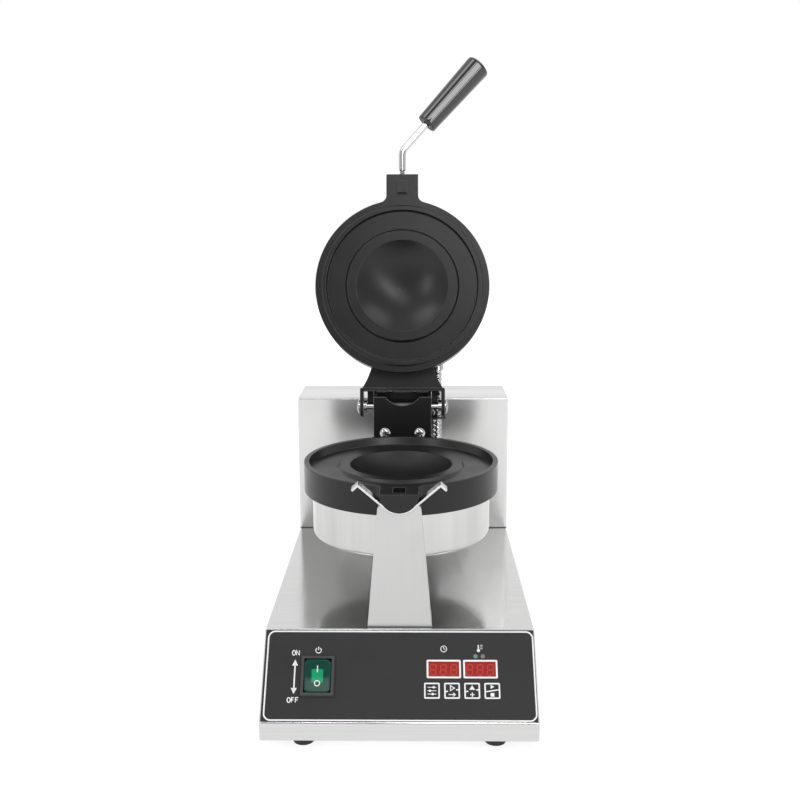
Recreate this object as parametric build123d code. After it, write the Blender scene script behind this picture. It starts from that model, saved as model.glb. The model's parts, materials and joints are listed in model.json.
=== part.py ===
from build123d import *
import math
import os

# A countertop press with two round hinged cooking plates. The closed plates turn over together:
# their half-round lugs lie in a cradle at the front, and a shaft carries them at the back.
# Frame: +X to the right, +Y to the back, +Z up. The origin is on the floor, midway along the depth.
# Lengths are in millimetres and angles in degrees. Places along Y count from the case's front face.

# Case
case_width = 250.0
case_depth = 424.3
case_sheet = 1.2
foot_height = 10.8
strip_height = 16.5
slope_run = 54.5
deck_height = 94.2
housing_front = 345.5
housing_above_axis = 30.6
bend_radius = 2.0
flange_width = 13.0
cover_inset = 1.5
dome_side = 0.3
case_screw_radius = 2.0
case_screw_head = 3.8
case_screw_head_height = 1.6
case_screw_length = 6.0
wiring_slot_width = 120.0
wiring_slot_margin = 16.8

# Feet
foot_radius = 11.0
foot_draft = 1.5
foot_inset_x = 37.5
foot_inset_y = 22.0
foot_recess_radius = 5.0
foot_recess_depth = 5.0
foot_screw_head = 4.4
foot_screw_head_height = 2.4

# Vents
vent_width = 3.0
vent_length = 34.0
vent_pitch = 9.0
vent_rows = 7
vent_column_offset = 46.0
back_vent_drop = 58.6

# Cord gland in the back cover
gland_inset = 41.0
gland_height = 46.0
gland_hex = 22.0
gland_hex_length = 5.0
gland_reach = 15.0
gland_cap_radius = 9.0
gland_cap_taper = 2.5
gland_cap_taper_length = 4.0
gland_thread_radius = 8.0
gland_thread_length = 9.0
gland_bore_radius = 4.0
gland_nut_length = 4.0

# Turning axis and cooking plates; heights on a plate count from the plane where the two meet
turn_height = 224.0
plate_y = 182.2
plate_radius = 99.2
plate_skirt = 29.8
plate_skirt_wall = 5.0
plate_gap = 0.3
floor_thickness = 6.0
rim_width = 5.0
rim_draft = 2.9
rim_break = 0.4
tray_depth = 8.0
lip_inner = 52.4
lip_outer = 64.0
lower_lip = -5.5
upper_lip = 2.0
upper_floor = -2.0
ring_inner = 85.3
ring_outer = 92.2
ring_height = 3.0
edge_slope = 1.4
bowl_depth = 19.0
bowl_wall = 5.0

# Half-round lugs at the front of the plates, with a catch block over a pocket
lug_radius = 18.2
lug_reach = 29.2
lug_fillet = 8.0
lug_web = 12.0
lug_tip_round = 0.8
catch_width = 10.6
catch_length = 14.0
catch_height = 4.0
catch_inset = 8.0
pocket_clearance = 0.5
pocket_length = 20.0
pocket_depth = 5.6
pocket_inset = 4.4

# Heating ring, drum and insulation of each plate
heater_ring = 75.0
heater_tube = 4.0
heater_gap_angle = 36.0
heater_tail = 16.0
heater_boss = 6.0
heater_fit = 0.1
drum_radius = 91.0
drum_sheet = 1.0
drum_depth = 75.4
drum_corner = 4.0
drum_seat = 22.0
drum_seat_width = 4.0
insulation_thickness = 18.0
insulation_clearance = 2.0
drum_screw_circle = 62.0
drum_screw_angles = (30.0, 150.0, 270.0)
drum_post_radius = 4.0
drum_screw_head = 4.5
drum_screw_head_height = 2.2
probe_radius = 2.5
probe_length = 16.0
probe_boss_radius = 5.0
probe_boss_height = 6.0
probe_hole_depth = 4.0
probe_fit = 0.02

# Lid hinge
hinge_back = 137.1
hinge_rise = 25.4
lid_lean = 14.4
hinge_rod_radius = 4.0
hinge_fit = 0.05
arm_thickness = 8.0
arm_root = 35.1
arm_flare = 46.5
arm_curve = 1.2
strap_inner = 18.0
strap_sheet = 3.5
strap_half_width = 48.8
strap_half_depth = 8.8
ear_sheet = 4.0
ear_drop = 11.3
hinge_head_radius = 9.0
hinge_head_height = 3.9
washer_radius = 8.2
washer_thickness = 3.5
nut_radius = 5.2
strap_screw_x = 14.0
strap_tab_sheet = 2.4
strap_tab_inset = 0.8
strap_tab_drop = 23.0
strap_tab_gap = 0.5

# Bracket of the lower plate, with the hinge cheeks
bracket_front = 10.3
bracket_sheet = 3.0
bracket_half_width = 33.2
bracket_above_hinge = 13.4
bracket_notch_half = 19.6
bracket_notch_depth = 10.0
cheek_back = 13.0
cheek_height = 26.0
cheek_corner = 0.75
web_drop = 10.0
stop_gap = 0.05
heel_width = 3.0
bracket_foot = 30.0
bracket_bolt_x = 20.0
bracket_bolt_drop = 3.2
bracket_bolt_head = 6.0
bracket_bolt_head_height = 3.4
sleeve_radius = 7.0

# Shaft and its bearing in the rear housing
shaft_radius = 12.0
shaft_bore = 7.0
shaft_flange_sheet = 5.0
shaft_flange_half_height = 13.0
shaft_flange_half_width = 28.0
shaft_tail = 4.0
shaft_window = 7.5
bearing_fit = 0.05
bearing_flange = 54.0
bearing_flange_thickness = 6.0
bearing_boss_radius = 20.0
bearing_length = 18.0
bearing_bolt_offset = 20.0
bearing_bolt_radius = 3.0
bearing_bolt_head = 5.2
bearing_bolt_head_height = 3.6
bearing_bolt_spare = 2.0
collar_radius = 19.0
collar_length = 9.0
collar_gap = 1.5
shaft_clearance = 3.0

# Cradle and its post
cradle_gap = 0.3
cradle_sheet = 2.0
cradle_depth = 12.0
cradle_slope = 41.0
cradle_crest_half = 37.6
cradle_lip = 8.2
cradle_bend = 1.5
lug_overhang = 4.3
post_foot_half = 30.0
post_top_half = 19.8
post_sheet = 2.0
post_depth = 16.0
post_foot_depth = 34.0
post_corner = 4.0
post_screw_x = 16.0
post_screw_head = 4.2
post_screw_head_height = 2.4
post_top_drop = 11.65

# Handle; places count from the middle of the lid's plate along the line to its lug
handle_depth = 9.0
handle_rod_radius = 4.0
handle_thread_radius = 3.0
handle_thread_length = 6.0
handle_thread_hold = 14.0
handle_bend_at = 158.0
handle_bend_radius = 14.0
handle_angle = 41.5
handle_grip_start = 42.0
handle_grip_length = 98.0
handle_rod_in_grip = 60.0
grip_near_radius = 12.0
grip_far_radius = 14.5
grip_end_round = 9.0
grip_near_round = 2.0
grip_rim_round = 3.6

# Armoured hose that carries the lid's leads past the hinge
hose_x = 40.5
hose_radius = 5.6
hose_groove = 0.9
hose_bore = 4.0
hose_pitch = 5.6
hose_drop = 46.0
hose_lid_depth = 40.0
hose_run_back = 18.5
hose_turn_rise = 8.6
hose_sweep = 22.0
hose_end_run = 20.0
hose_rise_lean = 1.5
hose_clip_lean = 0.5
hose_corner_share = 0.45
fitting_length = 12.0
fitting_radius = 7.5
fitting_base_radius = 9.0
fitting_base_length = 5.0
clip_drop = 16.0
clip_height = 2.6
clip_band = 1.2
clip_fit = 0.2
clip_tab_width = 4.0
clip_ear = 4.0

# Control panel; places count along the slope from its lower edge
panel_margin = 1.4
panel_sheet = 0.8
switch_inset = 50.8
switch_s = 41.6
switch_width = 31.3
switch_length = 37.0
switch_frame_height = 2.4
switch_wall = 3.2
switch_body_depth = 26.0
switch_floor_depth = 7.0
switch_chamfer = 1.0
switch_pin_wall = 1.5
rocker_clearance = 0.35
rocker_pivot_depth = 2.0
rocker_rest_angle = 8.0
rocker_rise = 3.4
rocker_end_slant = 1.2
rocker_keel = 3.2
rocker_pin_radius = 1.4
rocker_pin_reach = 1.0
display_width = 31.2
display_length = 16.7
display_inset = 51.3
display_pitch = 33.3
display_s = 48.3
display_window_sheet = 0.8
lamp_inset = 48.8
lamp_pitch = 6.6
lamp_s = 59.9
lamp_radius = 1.9
key_size = 14.2
key_inset = 41.2
key_pitch = 18.1
key_s = 28.9
key_names = ("set_key", "shift_key", "add_key", "start_key")
key_clearance = 0.25
key_sheet = 1.4
key_travel = 0.4
key_stem_radius = 2.0
module_margin = 5.0
board_depth = 9.0
board_sheet = 1.6
tact_size = 6.0
tact_height = 3.4
spacer_radius = 3.0
spacer_inset = 4.0
spacer_offset = 1.8

# Electrical pieces in the case
terminal_size = (52.0, 18.0, 20.0)
terminal_x = -60.0
terminal_from_back = 40.3
terminal_poles = 5
terminal_wall = 2.1
terminal_ledge = 11.0
relay_size = (58.0, 44.0, 26.0)
relay_place = (52.0, 300.0)
relay_slots = 6
relay_slot = 3.0
relay_slot_depth = 11.7
transformer_size = (42.0, 36.0, 34.0)
transformer_place = (-52.0, 300.0)
coil_size = (25.2, 54.0, 23.8)
coil_round = 3.0

# Worked out from the above
front_y = -(case_depth + gland_reach) / 2
half_width = case_width / 2
bottom_height = foot_height + case_sheet
strip_top = bottom_height + strip_height
shell_back = case_depth - case_sheet
slope_angle = math.degrees(math.atan2(deck_height - strip_top, slope_run))
slope_length = math.hypot(slope_run, deck_height - strip_top)
bowl_radius = (lip_inner ** 2 + bowl_depth ** 2) / (2 * bowl_depth)
drum_bottom = -drum_depth
housing_top = turn_height + housing_above_axis
hinge_y = plate_y + hinge_back
hinge_height = turn_height + hinge_rise
post_y = plate_y - plate_radius - lug_reach + lug_overhang
seat_radius = lug_radius + cradle_gap
gland_x = gland_inset - half_width
switch_x = switch_inset - half_width
display_x = [half_width - display_inset - step * display_pitch for step in (1, 0)]
lamp_x = [half_width - lamp_inset - step * lamp_pitch for step in (1, 0)]
key_x = [half_width - key_inset - step * key_pitch for step in (3, 2, 1, 0)]
terminal_place = (terminal_x, case_depth - terminal_from_back)
shaft_end = housing_front + case_sheet + bearing_length + collar_gap + collar_length + shaft_tail


def back(distance):
    return front_y + distance


def span(x, y, z):
    size = (x[1] - x[0], y[1] - y[0], z[1] - z[0])
    middle = ((x[0] + x[1]) / 2, (y[0] + y[1]) / 2, (z[0] + z[1]) / 2)
    return Pos(*middle) * Box(*size)


def rod(start, end, radius):
    line = Vector(*end) - Vector(*start)
    return extrude(Plane(origin=start, z_dir=line) * Circle(radius), amount=line.length)


def turned(points, place=Location()):
    # Revolves a closed outline of (radius, height) points about the local Z axis
    outline = make_face(Polyline(*[(r, 0, z) for r, z in points], close=True))
    return place * revolve(outline, Axis.Z)


def cap_arc(radius, low, high):
    # Half of a spherical cap's section, from its rim at height low to its top on the axis
    sphere = (radius ** 2 + (high - low) ** 2) / (2 * (high - low))
    half = radius / 2
    middle = high - sphere + math.sqrt(sphere ** 2 - half ** 2)
    return ThreePointArc((radius, 0, low), (half, 0, middle), (0, 0, high))


def dome_screw(head, height, shank, length):
    # A round-headed screw: its head rises along +Z from the seat at Z = 0, and its shank goes down
    side = height * dome_side
    crown = cap_arc(head, side, height)
    sides = Polyline((0, 0, height), (0, 0, -length), (shank, 0, -length), (shank, 0, 0),
                     (head, 0, 0), (head, 0, side))
    return revolve(make_face(Wire([crown, *sides.edges()])), Axis.Z)


def mirrored(shape):
    return [shape, mirror(shape, Plane.YZ)]


def group(shapes):
    return Compound(children=list(shapes))


# Local frames: the slope (X right, Y up the slope, Z outwards) and the two plates. On a plate,
# Y runs from the hinge to the lug, Z is the way its face looks, and Z = 0 is where the plates meet.
slope = Plane(origin=(0, back(0), strip_top), x_dir=(1, 0, 0),
              z_dir=(0, -math.sin(math.radians(slope_angle)), math.cos(math.radians(slope_angle))))
lean_sin = math.sin(math.radians(lid_lean))
lean_cos = math.cos(math.radians(lid_lean))
lid_up = Vector(0, lean_sin, lean_cos)
lid_face = Vector(0, -lean_cos, lean_sin)
hinge_point = Vector(0, back(hinge_y), hinge_height)
lower_frame = Plane(origin=(0, back(plate_y), turn_height), x_dir=(-1, 0, 0), z_dir=(0, 0, 1))
lid_frame = Plane(origin=hinge_point + lid_up * hinge_back + lid_face * hinge_rise,
                  x_dir=(1, 0, 0), z_dir=lid_face)


def on_slope(x, s, m=0.0):
    return slope.location * Pos(x, s, m)


def slope_block(x, s, width, length, bottom, top):
    return on_slope(x, s, (bottom + top) / 2) * Box(width, length, top - bottom)


def case_block(points, soft):
    # A prism over the case's full width from a side view in (distance from the front, height),
    # with its bends rounded where soft(edge) is true
    outline = make_face(Polyline(*[(0, back(y), z) for y, z in points], close=True))
    block = extrude(outline, amount=half_width, both=True)
    return fillet([edge for edge in block.edges() if soft(edge.center())], bend_radius)


def open_sheet(block, *open_sides):
    return offset(block, amount=-case_sheet, openings=list(open_sides))


def rim_flange(block, whole, inner):
    # A flange turned inwards along an open side, cut to the block's rounded outline
    return (whole - inner) & block


def base_block():
    points = [(0, bottom_height), (0, strip_top), (slope_run, deck_height),
              (shell_back, deck_height), (shell_back, bottom_height)]
    return case_block(points, lambda c: c.Z > bottom_height + 1 and c.Y < back(shell_back) - 1)


def case_screw_places():
    # Screws of the back cover, as (x, height), and of the bottom plate, as (x, distance)
    reach = half_width - flange_width / 2
    low = bottom_height + flange_width / 2
    high = housing_top - flange_width / 2
    middle = (low + deck_height) / 2
    cover = [(sx * reach, z) for sx in (-1, 1) for z in (low, middle, deck_height + middle, high)]
    bottom = [(sx * reach, y) for sx in (-1, 1) for y in (case_depth * 0.28, case_depth * 0.72)]
    return cover, bottom


def base_shell():
    block = base_block()
    shell = open_sheet(block, block.faces().sort_by(Axis.Z)[0], block.faces().sort_by(Axis.Y)[-1])
    wide = (-half_width, half_width)
    inner = (-half_width + flange_width, half_width - flange_width)
    deep = (back(0), back(shell_back))
    bottom = (bottom_height, bottom_height + case_sheet)
    shell += rim_flange(block, span(wide, deep, bottom),
                        span(inner, (back(flange_width), back(shell_back)), bottom))
    rear = (back(shell_back - case_sheet), back(shell_back))
    shell += rim_flange(block, span(wide, rear, (bottom_height, deck_height)),
                        span(inner, rear, (bottom_height, deck_height - flange_width / 2)))
    cover, under = case_screw_places()
    for x, z in cover:
        if z < deck_height:
            shell -= rod((x, rear[0] - 1, z), (x, rear[1] + 1, z), case_screw_radius)
    for x, y in under:
        shell -= Pos(x, back(y), bottom_height) * Cylinder(case_screw_radius, 4 * case_sheet)
    for x, y in foot_places():
        shell -= Pos(x, y, bottom_height) * Cylinder(case_screw_radius, 4 * case_sheet)
    shell -= slope_block(switch_x, switch_s, switch_width - switch_wall, switch_length - switch_wall,
                         -4 * case_sheet, case_sheet)
    x, s, width, length = module_window()
    shell -= slope_block(x, s, width, length, -4 * case_sheet, case_sheet)
    slot_y = (back(housing_front + wiring_slot_margin), back(shell_back - wiring_slot_margin))
    slot_x = (-wiring_slot_width / 2, wiring_slot_width / 2)
    shell -= span(slot_x, slot_y, (deck_height - 2 * case_sheet, deck_height + case_sheet))
    for x, y in post_screw_places():
        shell -= Pos(x, y, deck_height) * Cylinder(case_screw_radius, 4 * case_sheet)
    return shell


def foot_places():
    x = half_width - foot_inset_x
    return [(sx * x, back(y)) for sx in (-1, 1) for y in (foot_inset_y, case_depth - foot_inset_y)]


def bottom_plate():
    reach = half_width - bend_radius
    plate = span((-reach, reach), (back(bend_radius), back(shell_back)), (foot_height, bottom_height))
    for x, y in foot_places():
        plate -= Pos(x, y, foot_height) * Cylinder(case_screw_radius, 4 * case_sheet)
    for x, y in case_screw_places()[1]:
        plate -= Pos(x, back(y), foot_height) * Cylinder(case_screw_radius, 4 * case_sheet)
    middle = back(case_depth / 2)
    for row in range(vent_rows):
        y = middle + (row - (vent_rows - 1) / 2) * vent_pitch
        for sx in (-1, 1):
            slot = SlotOverall(vent_length, vent_width)
            plate -= Pos(sx * vent_column_offset, y, foot_height) * extrude(slot, 2 * case_sheet, both=True)
    return plate


def rubber_feet():
    foot = turned([(foot_recess_radius, 0), (foot_radius - foot_draft, 0), (foot_radius, foot_height),
                   (case_screw_radius, foot_height), (case_screw_radius, foot_recess_depth),
                   (foot_recess_radius, foot_recess_depth)])
    return group([Pos(x, y, 0) * foot for x, y in foot_places()])


def foot_screws():
    seat = foot_recess_depth
    length = foot_height - seat + case_screw_length - case_sheet
    screw = Rot(180, 0, 0) * dome_screw(foot_screw_head, foot_screw_head_height, case_screw_radius, length)
    return group([Pos(x, y, seat) * screw for x, y in foot_places()])


def rear_housing():
    points = [(housing_front, deck_height), (housing_front, housing_top),
              (shell_back, housing_top), (shell_back, deck_height)]
    block = case_block(points, lambda c: c.Z > deck_height + 1 and c.Y < back(shell_back) - 1)
    shell = open_sheet(block, block.faces().sort_by(Axis.Z)[0], block.faces().sort_by(Axis.Y)[-1])
    wide = (-half_width, half_width)
    inner = (-half_width + flange_width, half_width - flange_width)
    foot = (deck_height, deck_height + case_sheet)
    shell += rim_flange(block, span(wide, (back(housing_front), back(shell_back)), foot),
                        span(inner, (back(housing_front + flange_width), back(shell_back)), foot))
    rear = (back(shell_back - case_sheet), back(shell_back))
    shell += rim_flange(block, span(wide, rear, (deck_height, housing_top)),
                        span(inner, rear, (deck_height, housing_top - flange_width)))
    for x, z in case_screw_places()[0]:
        if z > deck_height:
            shell -= rod((x, rear[0] - 1, z), (x, rear[1] + 1, z), case_screw_radius)
    wall = (back(housing_front - 1), back(housing_front + 2 * case_sheet))
    shell -= rod((0, wall[0], turn_height), (0, wall[1], turn_height), shaft_radius + shaft_clearance)
    for x, z in bearing_bolt_places():
        shell -= rod((x, wall[0], z), (x, wall[1], z), bearing_bolt_radius)
    return shell


def back_cover():
    reach = half_width - cover_inset
    cover = span((-reach, reach), (back(shell_back), back(case_depth)),
                 (foot_height + cover_inset, housing_top - cover_inset))
    for x, z in case_screw_places()[0]:
        cover -= rod((x, back(shell_back) - 1, z), (x, back(case_depth) + 1, z), case_screw_radius)
    cover -= rod((gland_x, back(shell_back) - 1, gland_height),
                 (gland_x, back(case_depth) + 1, gland_height), gland_thread_radius)
    upright = Plane(origin=(0, back(shell_back), 0), x_dir=(1, 0, 0), z_dir=(0, -1, 0))
    for row in range(vent_rows):
        z = housing_top - back_vent_drop + (row - (vent_rows - 1) / 2) * vent_pitch
        for sx in (-1, 1):
            slot = extrude(SlotOverall(vent_length, vent_width), 2 * case_sheet, both=True)
            cover -= upright.location * Pos(sx * vent_column_offset, z, 0) * slot
    return cover


def cover_screws():
    screw = dome_screw(case_screw_head, case_screw_head_height, case_screw_radius, case_screw_length)
    cover, under = case_screw_places()
    screws = [Pos(x, back(case_depth), z) * Rot(-90, 0, 0) * screw for x, z in cover]
    screws += [Pos(x, back(y), foot_height) * Rot(180, 0, 0) * screw for x, y in under]
    return group(screws)


def cable_gland():
    place = Pos(gland_x, back(case_depth), gland_height) * Rot(-90, 0, 0)
    body = extrude(RegularPolygon(gland_hex / 2, 6, major_radius=False), gland_hex_length)
    cap = turned([(0, gland_hex_length), (gland_cap_radius, gland_hex_length),
                  (gland_cap_radius, gland_reach - gland_cap_taper_length),
                  (gland_cap_radius - gland_cap_taper, gland_reach),
                  (0, gland_reach)])
    thread = Pos(0, 0, -gland_thread_length / 2) * Cylinder(gland_thread_radius, gland_thread_length)
    bore = Cylinder(gland_bore_radius, 4 * gland_reach)
    return place * (body + cap + thread - bore)


def gland_nut():
    place = Pos(gland_x, back(shell_back), gland_height) * Rot(90, 0, 0)
    nut = extrude(RegularPolygon(gland_hex / 2, 6, major_radius=False), gland_nut_length)
    return place * (nut - Cylinder(gland_thread_radius, 4 * gland_nut_length))


def post_screw_places():
    y = back(post_y) + (post_sheet + post_foot_depth) / 2
    return [(sx * post_screw_x, y) for sx in (-1, 1)]


def front_post():
    # A channel folded from sheet that narrows upwards, with its top cut to the cradle's round
    front = Plane(origin=(0, back(post_y), 0), x_dir=(1, 0, 0), z_dir=(0, -1, 0))
    top = turn_height - post_top_drop

    def wedge(inset):
        corners = [(-post_foot_half + inset, deck_height), (post_foot_half - inset, deck_height),
                   (post_top_half - inset, top), (-post_top_half + inset, top)]
        return make_face(Polyline(*corners, close=True))

    outer = extrude(front * wedge(0), amount=-post_depth)
    upper = [edge for edge in outer.edges() if abs(edge.center().X) > 1
             and edge.center().Z > top - 1 and abs(edge.center().Y - back(post_y + post_depth / 2)) < 1]
    outer = fillet(upper, post_corner)
    inner = extrude(Pos(0, post_sheet, 0) * (front * wedge(post_sheet)), amount=-post_depth)
    post = outer - inner
    foot = span((-post_foot_half, post_foot_half), (back(post_y), back(post_y + post_foot_depth)),
                (deck_height, deck_height + post_sheet))
    post += foot
    for x, y in post_screw_places():
        post -= Pos(x, y, deck_height) * Cylinder(case_screw_radius, 4 * post_sheet)
    # The top edge follows the underside of the cradle's strip: its round bottom and both slopes
    under = seat_radius + cradle_sheet
    touch_x = under * math.sin(math.radians(cradle_slope))
    touch_z = turn_height - under * math.cos(math.radians(cradle_slope))
    wide = touch_x + (turn_height - touch_z) / math.tan(math.radians(cradle_slope))
    slopes = make_face(Polyline((-touch_x, touch_z), (touch_x, touch_z), (wide, turn_height),
                                (-wide, turn_height), close=True))
    post -= extrude(front * slopes, amount=2 * post_depth, both=True)
    return post - rod((0, back(post_y) - 1, turn_height), (0, back(post_y + post_depth) + 1, turn_height),
                      under)


def post_screws():
    screw = dome_screw(post_screw_head, post_screw_head_height, case_screw_radius, case_screw_length)
    return group([Pos(x, y, deck_height + post_sheet) * screw for x, y in post_screw_places()])


def cradle():
    # A strip bent to a V with a round bottom that holds the lugs, and its ends turned down
    rise = math.tan(math.radians(cradle_slope))
    apex = turn_height - seat_radius / math.cos(math.radians(cradle_slope))
    crest = apex + cradle_crest_half * rise
    drop = math.sin(math.radians(cradle_slope)) * cradle_lip
    out = math.cos(math.radians(cradle_slope)) * cradle_lip
    front = Plane(origin=(0, back(post_y), 0), x_dir=(1, 0, 0), z_dir=(0, -1, 0))
    line = FilletPolyline((-cradle_crest_half - out, crest - drop), (-cradle_crest_half, crest),
                          (0, apex), (cradle_crest_half, crest),
                          (cradle_crest_half + out, crest - drop),
                          radius=[cradle_bend, seat_radius, cradle_bend])
    strip = Face(line.wire().offset_2d(cradle_sheet, kind=Kind.ARC, side=Side.RIGHT, closed=True))
    return extrude(front * strip, amount=cradle_depth, dir=(0, 1, 0))


def bowl_arc(radius, edge_radius, low):
    # The stretch of a sphere, touching its lowest point at height low, from the axis outwards
    height = low + radius - math.sqrt(radius ** 2 - edge_radius ** 2)
    half = edge_radius / 2
    middle = low + radius - math.sqrt(radius ** 2 - half ** 2)
    return ThreePointArc((0, 0, low), (half, 0, middle), (edge_radius, 0, height)), height


def plate_disc(face_points, bowl_low):
    # Revolves a plate: face_points run from the lip's inner edge out to the rim, and the underside
    # has the seat of the drum, the boss of the heating ring and the back of the bowl
    under = -tray_depth - floor_thickness
    boss = under - heater_tube
    back_radius = bowl_radius + bowl_wall
    back_low = bowl_low - bowl_wall
    meet = math.sqrt(back_radius ** 2 - (back_low + back_radius - under) ** 2)
    bowl, _ = bowl_arc(bowl_radius, lip_inner, bowl_low)
    shell, _ = bowl_arc(back_radius, meet, back_low)
    skirt_inner = plate_radius - plate_skirt_wall
    seat_inner = drum_radius - drum_seat_width
    outline = list(face_points) + [
        (plate_radius - rim_break, -plate_gap), (plate_radius, -plate_gap - rim_break),
        (plate_radius, -plate_skirt),
        (skirt_inner, -plate_skirt), (skirt_inner, -drum_seat), (seat_inner, -drum_seat),
        (seat_inner, under), (heater_ring + heater_boss, under), (heater_ring + heater_boss, boss),
        (heater_ring - heater_boss, boss), (heater_ring - heater_boss, under), (meet, under)]
    sides = Polyline(*[(r, 0, z) for r, z in outline])
    middle = Line((0, 0, back_low), (0, 0, bowl_low))
    disc = revolve(make_face(Wire([bowl, *sides.edges(), shell, middle])), Axis.Z)
    disc -= Pos(0, 0, boss) * Torus(heater_ring, heater_tube)
    return disc


def plate_lug():
    tip = plate_radius + lug_reach
    root = plate_radius - rim_width / 2
    bar = rod((0, root, 0), (0, tip, 0), lug_radius)
    bar = fillet(bar.edges().sort_by(Axis.Y)[-1], lug_tip_round)
    bar &= span((-lug_radius, lug_radius), (root, tip), (-lug_radius, -plate_gap))
    # The webs that run out from the rim into the sides of the lug, each along an arc that touches both
    reach = plate_radius + lug_fillet
    centre = lug_radius + lug_fillet
    height = math.sqrt(reach ** 2 - centre ** 2)
    touch = plate_radius / reach
    turn = math.pi + math.atan2(height, centre) / 2
    webs = []
    for side in (-1, 1):
        near = (side * centre * touch, height * touch)
        far = (side * lug_radius, height)
        middle = (side * (centre + lug_fillet * math.cos(turn)), height + lug_fillet * math.sin(turn))
        corner = (side * lug_radius / 2, root)
        inner = (side * lug_radius / 2, height)
        face = make_face(Wire([ThreePointArc(near, middle, far), Line(far, inner), Line(inner, corner),
                               Line(corner, near)]))
        webs.append(Pos(0, 0, -lug_web) * extrude(face, lug_web - plate_gap))
    return [bar, *webs]


def lug_box(half, length, inset, bottom, top):
    end = plate_radius + lug_reach - inset
    return span((-half, half), (end - length, end), (bottom, top))


def arm(end, flare):
    # The flared arm that joins a plate to its hinge bracket, level with the skirt's lower edge
    root = -plate_radius + 2 * plate_skirt_wall
    half = (root + end) / 2
    right = ThreePointArc((arm_root, root), ((arm_root + flare) / 2 - arm_curve, half), (flare, end))
    left = ThreePointArc((-flare, end), (arm_curve - (arm_root + flare) / 2, half), (-arm_root, root))
    face = make_face(Wire([right, Line((flare, end), (-flare, end)), left,
                           Line((-arm_root, root), (arm_root, root))]))
    face -= Circle(plate_radius - plate_skirt_wall)
    return Pos(0, 0, -plate_skirt) * extrude(face, arm_thickness)


def plate_posts():
    # Posts under the tray that take the screws of the drum
    under = -tray_depth - floor_thickness
    length = -under + drum_bottom + drum_sheet
    return [Rot(0, 0, angle) * Pos(drum_screw_circle, 0, under + length / 2)
            * Cylinder(drum_post_radius, -length) for angle in drum_screw_angles]


def drum_screw_places():
    return [Rot(0, 0, angle) * Pos(drum_screw_circle, 0, drum_bottom) for angle in drum_screw_angles]


def probe_boss(bowl_low):
    # A boss on the back of the bowl, with a blind hole for the temperature probe
    face = bowl_low - bowl_wall - probe_boss_height
    boss = rod((0, 0, face), (0, 0, face + probe_boss_height + bowl_wall / 2), probe_boss_radius)
    return boss, rod((0, 0, face - 1), (0, 0, face + probe_hole_depth), probe_radius)


def finish_plate(disc, bowl_low, arm_end, flare):
    plate = disc
    for piece in (*plate_lug(), arm(arm_end, flare), *plate_posts()):
        plate += piece
    boss, hole = probe_boss(bowl_low)
    plate += boss
    plate -= hole
    for place in drum_screw_places():
        plate -= place * Cylinder(case_screw_radius, 4 * case_screw_length)
    return plate


def lower_plate():
    low = lower_lip - bowl_depth
    rim_inner = plate_radius - rim_width
    face = [(lip_inner, lower_lip), (lip_outer - edge_slope, lower_lip), (lip_outer, lower_lip - edge_slope),
            (lip_outer + edge_slope, -tray_depth), (rim_inner - rim_draft, -tray_depth),
            (rim_inner, -plate_gap)]
    plate = finish_plate(plate_disc(face, low), low, -(hinge_back - bracket_front), bracket_half_width)
    plate -= lug_box(catch_width / 2 + pocket_clearance, pocket_length, pocket_inset,
                     -plate_gap - pocket_depth, plate_gap)
    for x in (-strap_screw_x, strap_screw_x):
        plate -= Pos(x, foot_screw_y(), -plate_skirt) * Cylinder(case_screw_radius, 2 * arm_thickness)
    return lower_frame.location * plate


def upper_plate():
    low = upper_lip - bowl_depth
    face = [(lip_inner, upper_lip), (lip_outer - edge_slope, upper_lip), (lip_outer, upper_lip - edge_slope),
            (lip_outer + edge_slope, upper_floor), (ring_inner, upper_floor),
            (ring_inner + edge_slope, ring_height), (ring_outer - edge_slope, ring_height),
            (ring_outer, ring_height - edge_slope), (ring_outer, -plate_gap)]
    end = -(hinge_back - strap_inner - strap_sheet)
    plate = finish_plate(plate_disc(face, low), low, end, arm_flare)
    plate += lug_box(catch_width / 2, catch_length, catch_inset, -lug_radius / 2,
                     catch_height - plate_gap)
    tip = plate_radius + lug_reach
    plate -= rod((0, tip - handle_thread_hold, -handle_depth), (0, tip + 1, -handle_depth),
                 handle_thread_radius)
    depth = -plate_skirt + arm_thickness / 2
    for x in (-strap_screw_x, strap_screw_x):
        plate -= rod((x, end - 1, depth), (x, end + 2 * case_screw_length, depth), case_screw_radius)
    return lid_frame.location * plate


def heater(frame):
    # A heating tube bent to an open ring, with both ends turned down into the drum
    start = heater_gap_angle / 2
    height = -tray_depth - floor_thickness - heater_tube
    ring = CenterArc((0, 0, height), heater_ring, start - 90, 360 - heater_gap_angle)
    radius = heater_tube - heater_fit
    tube = sweep(Plane(origin=ring @ 0, z_dir=ring % 0) * Circle(radius), path=ring)
    for end in (ring @ 0, ring @ 1):
        tube += Pos(end.X, end.Y, end.Z) * Sphere(radius)
        tube += rod((end.X, end.Y, end.Z), (end.X, end.Y, end.Z - heater_tail), radius)
    return frame.location * tube


def insulation(frame):
    radius = drum_radius - drum_corner - insulation_clearance
    pad = Cylinder(radius, insulation_thickness)
    pad = Pos(0, 0, drum_bottom + drum_sheet + insulation_thickness / 2) * pad
    for place in drum_screw_places():
        pad -= place * Cylinder(drum_post_radius + insulation_clearance, 4 * insulation_thickness)
    return frame.location * pad


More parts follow.
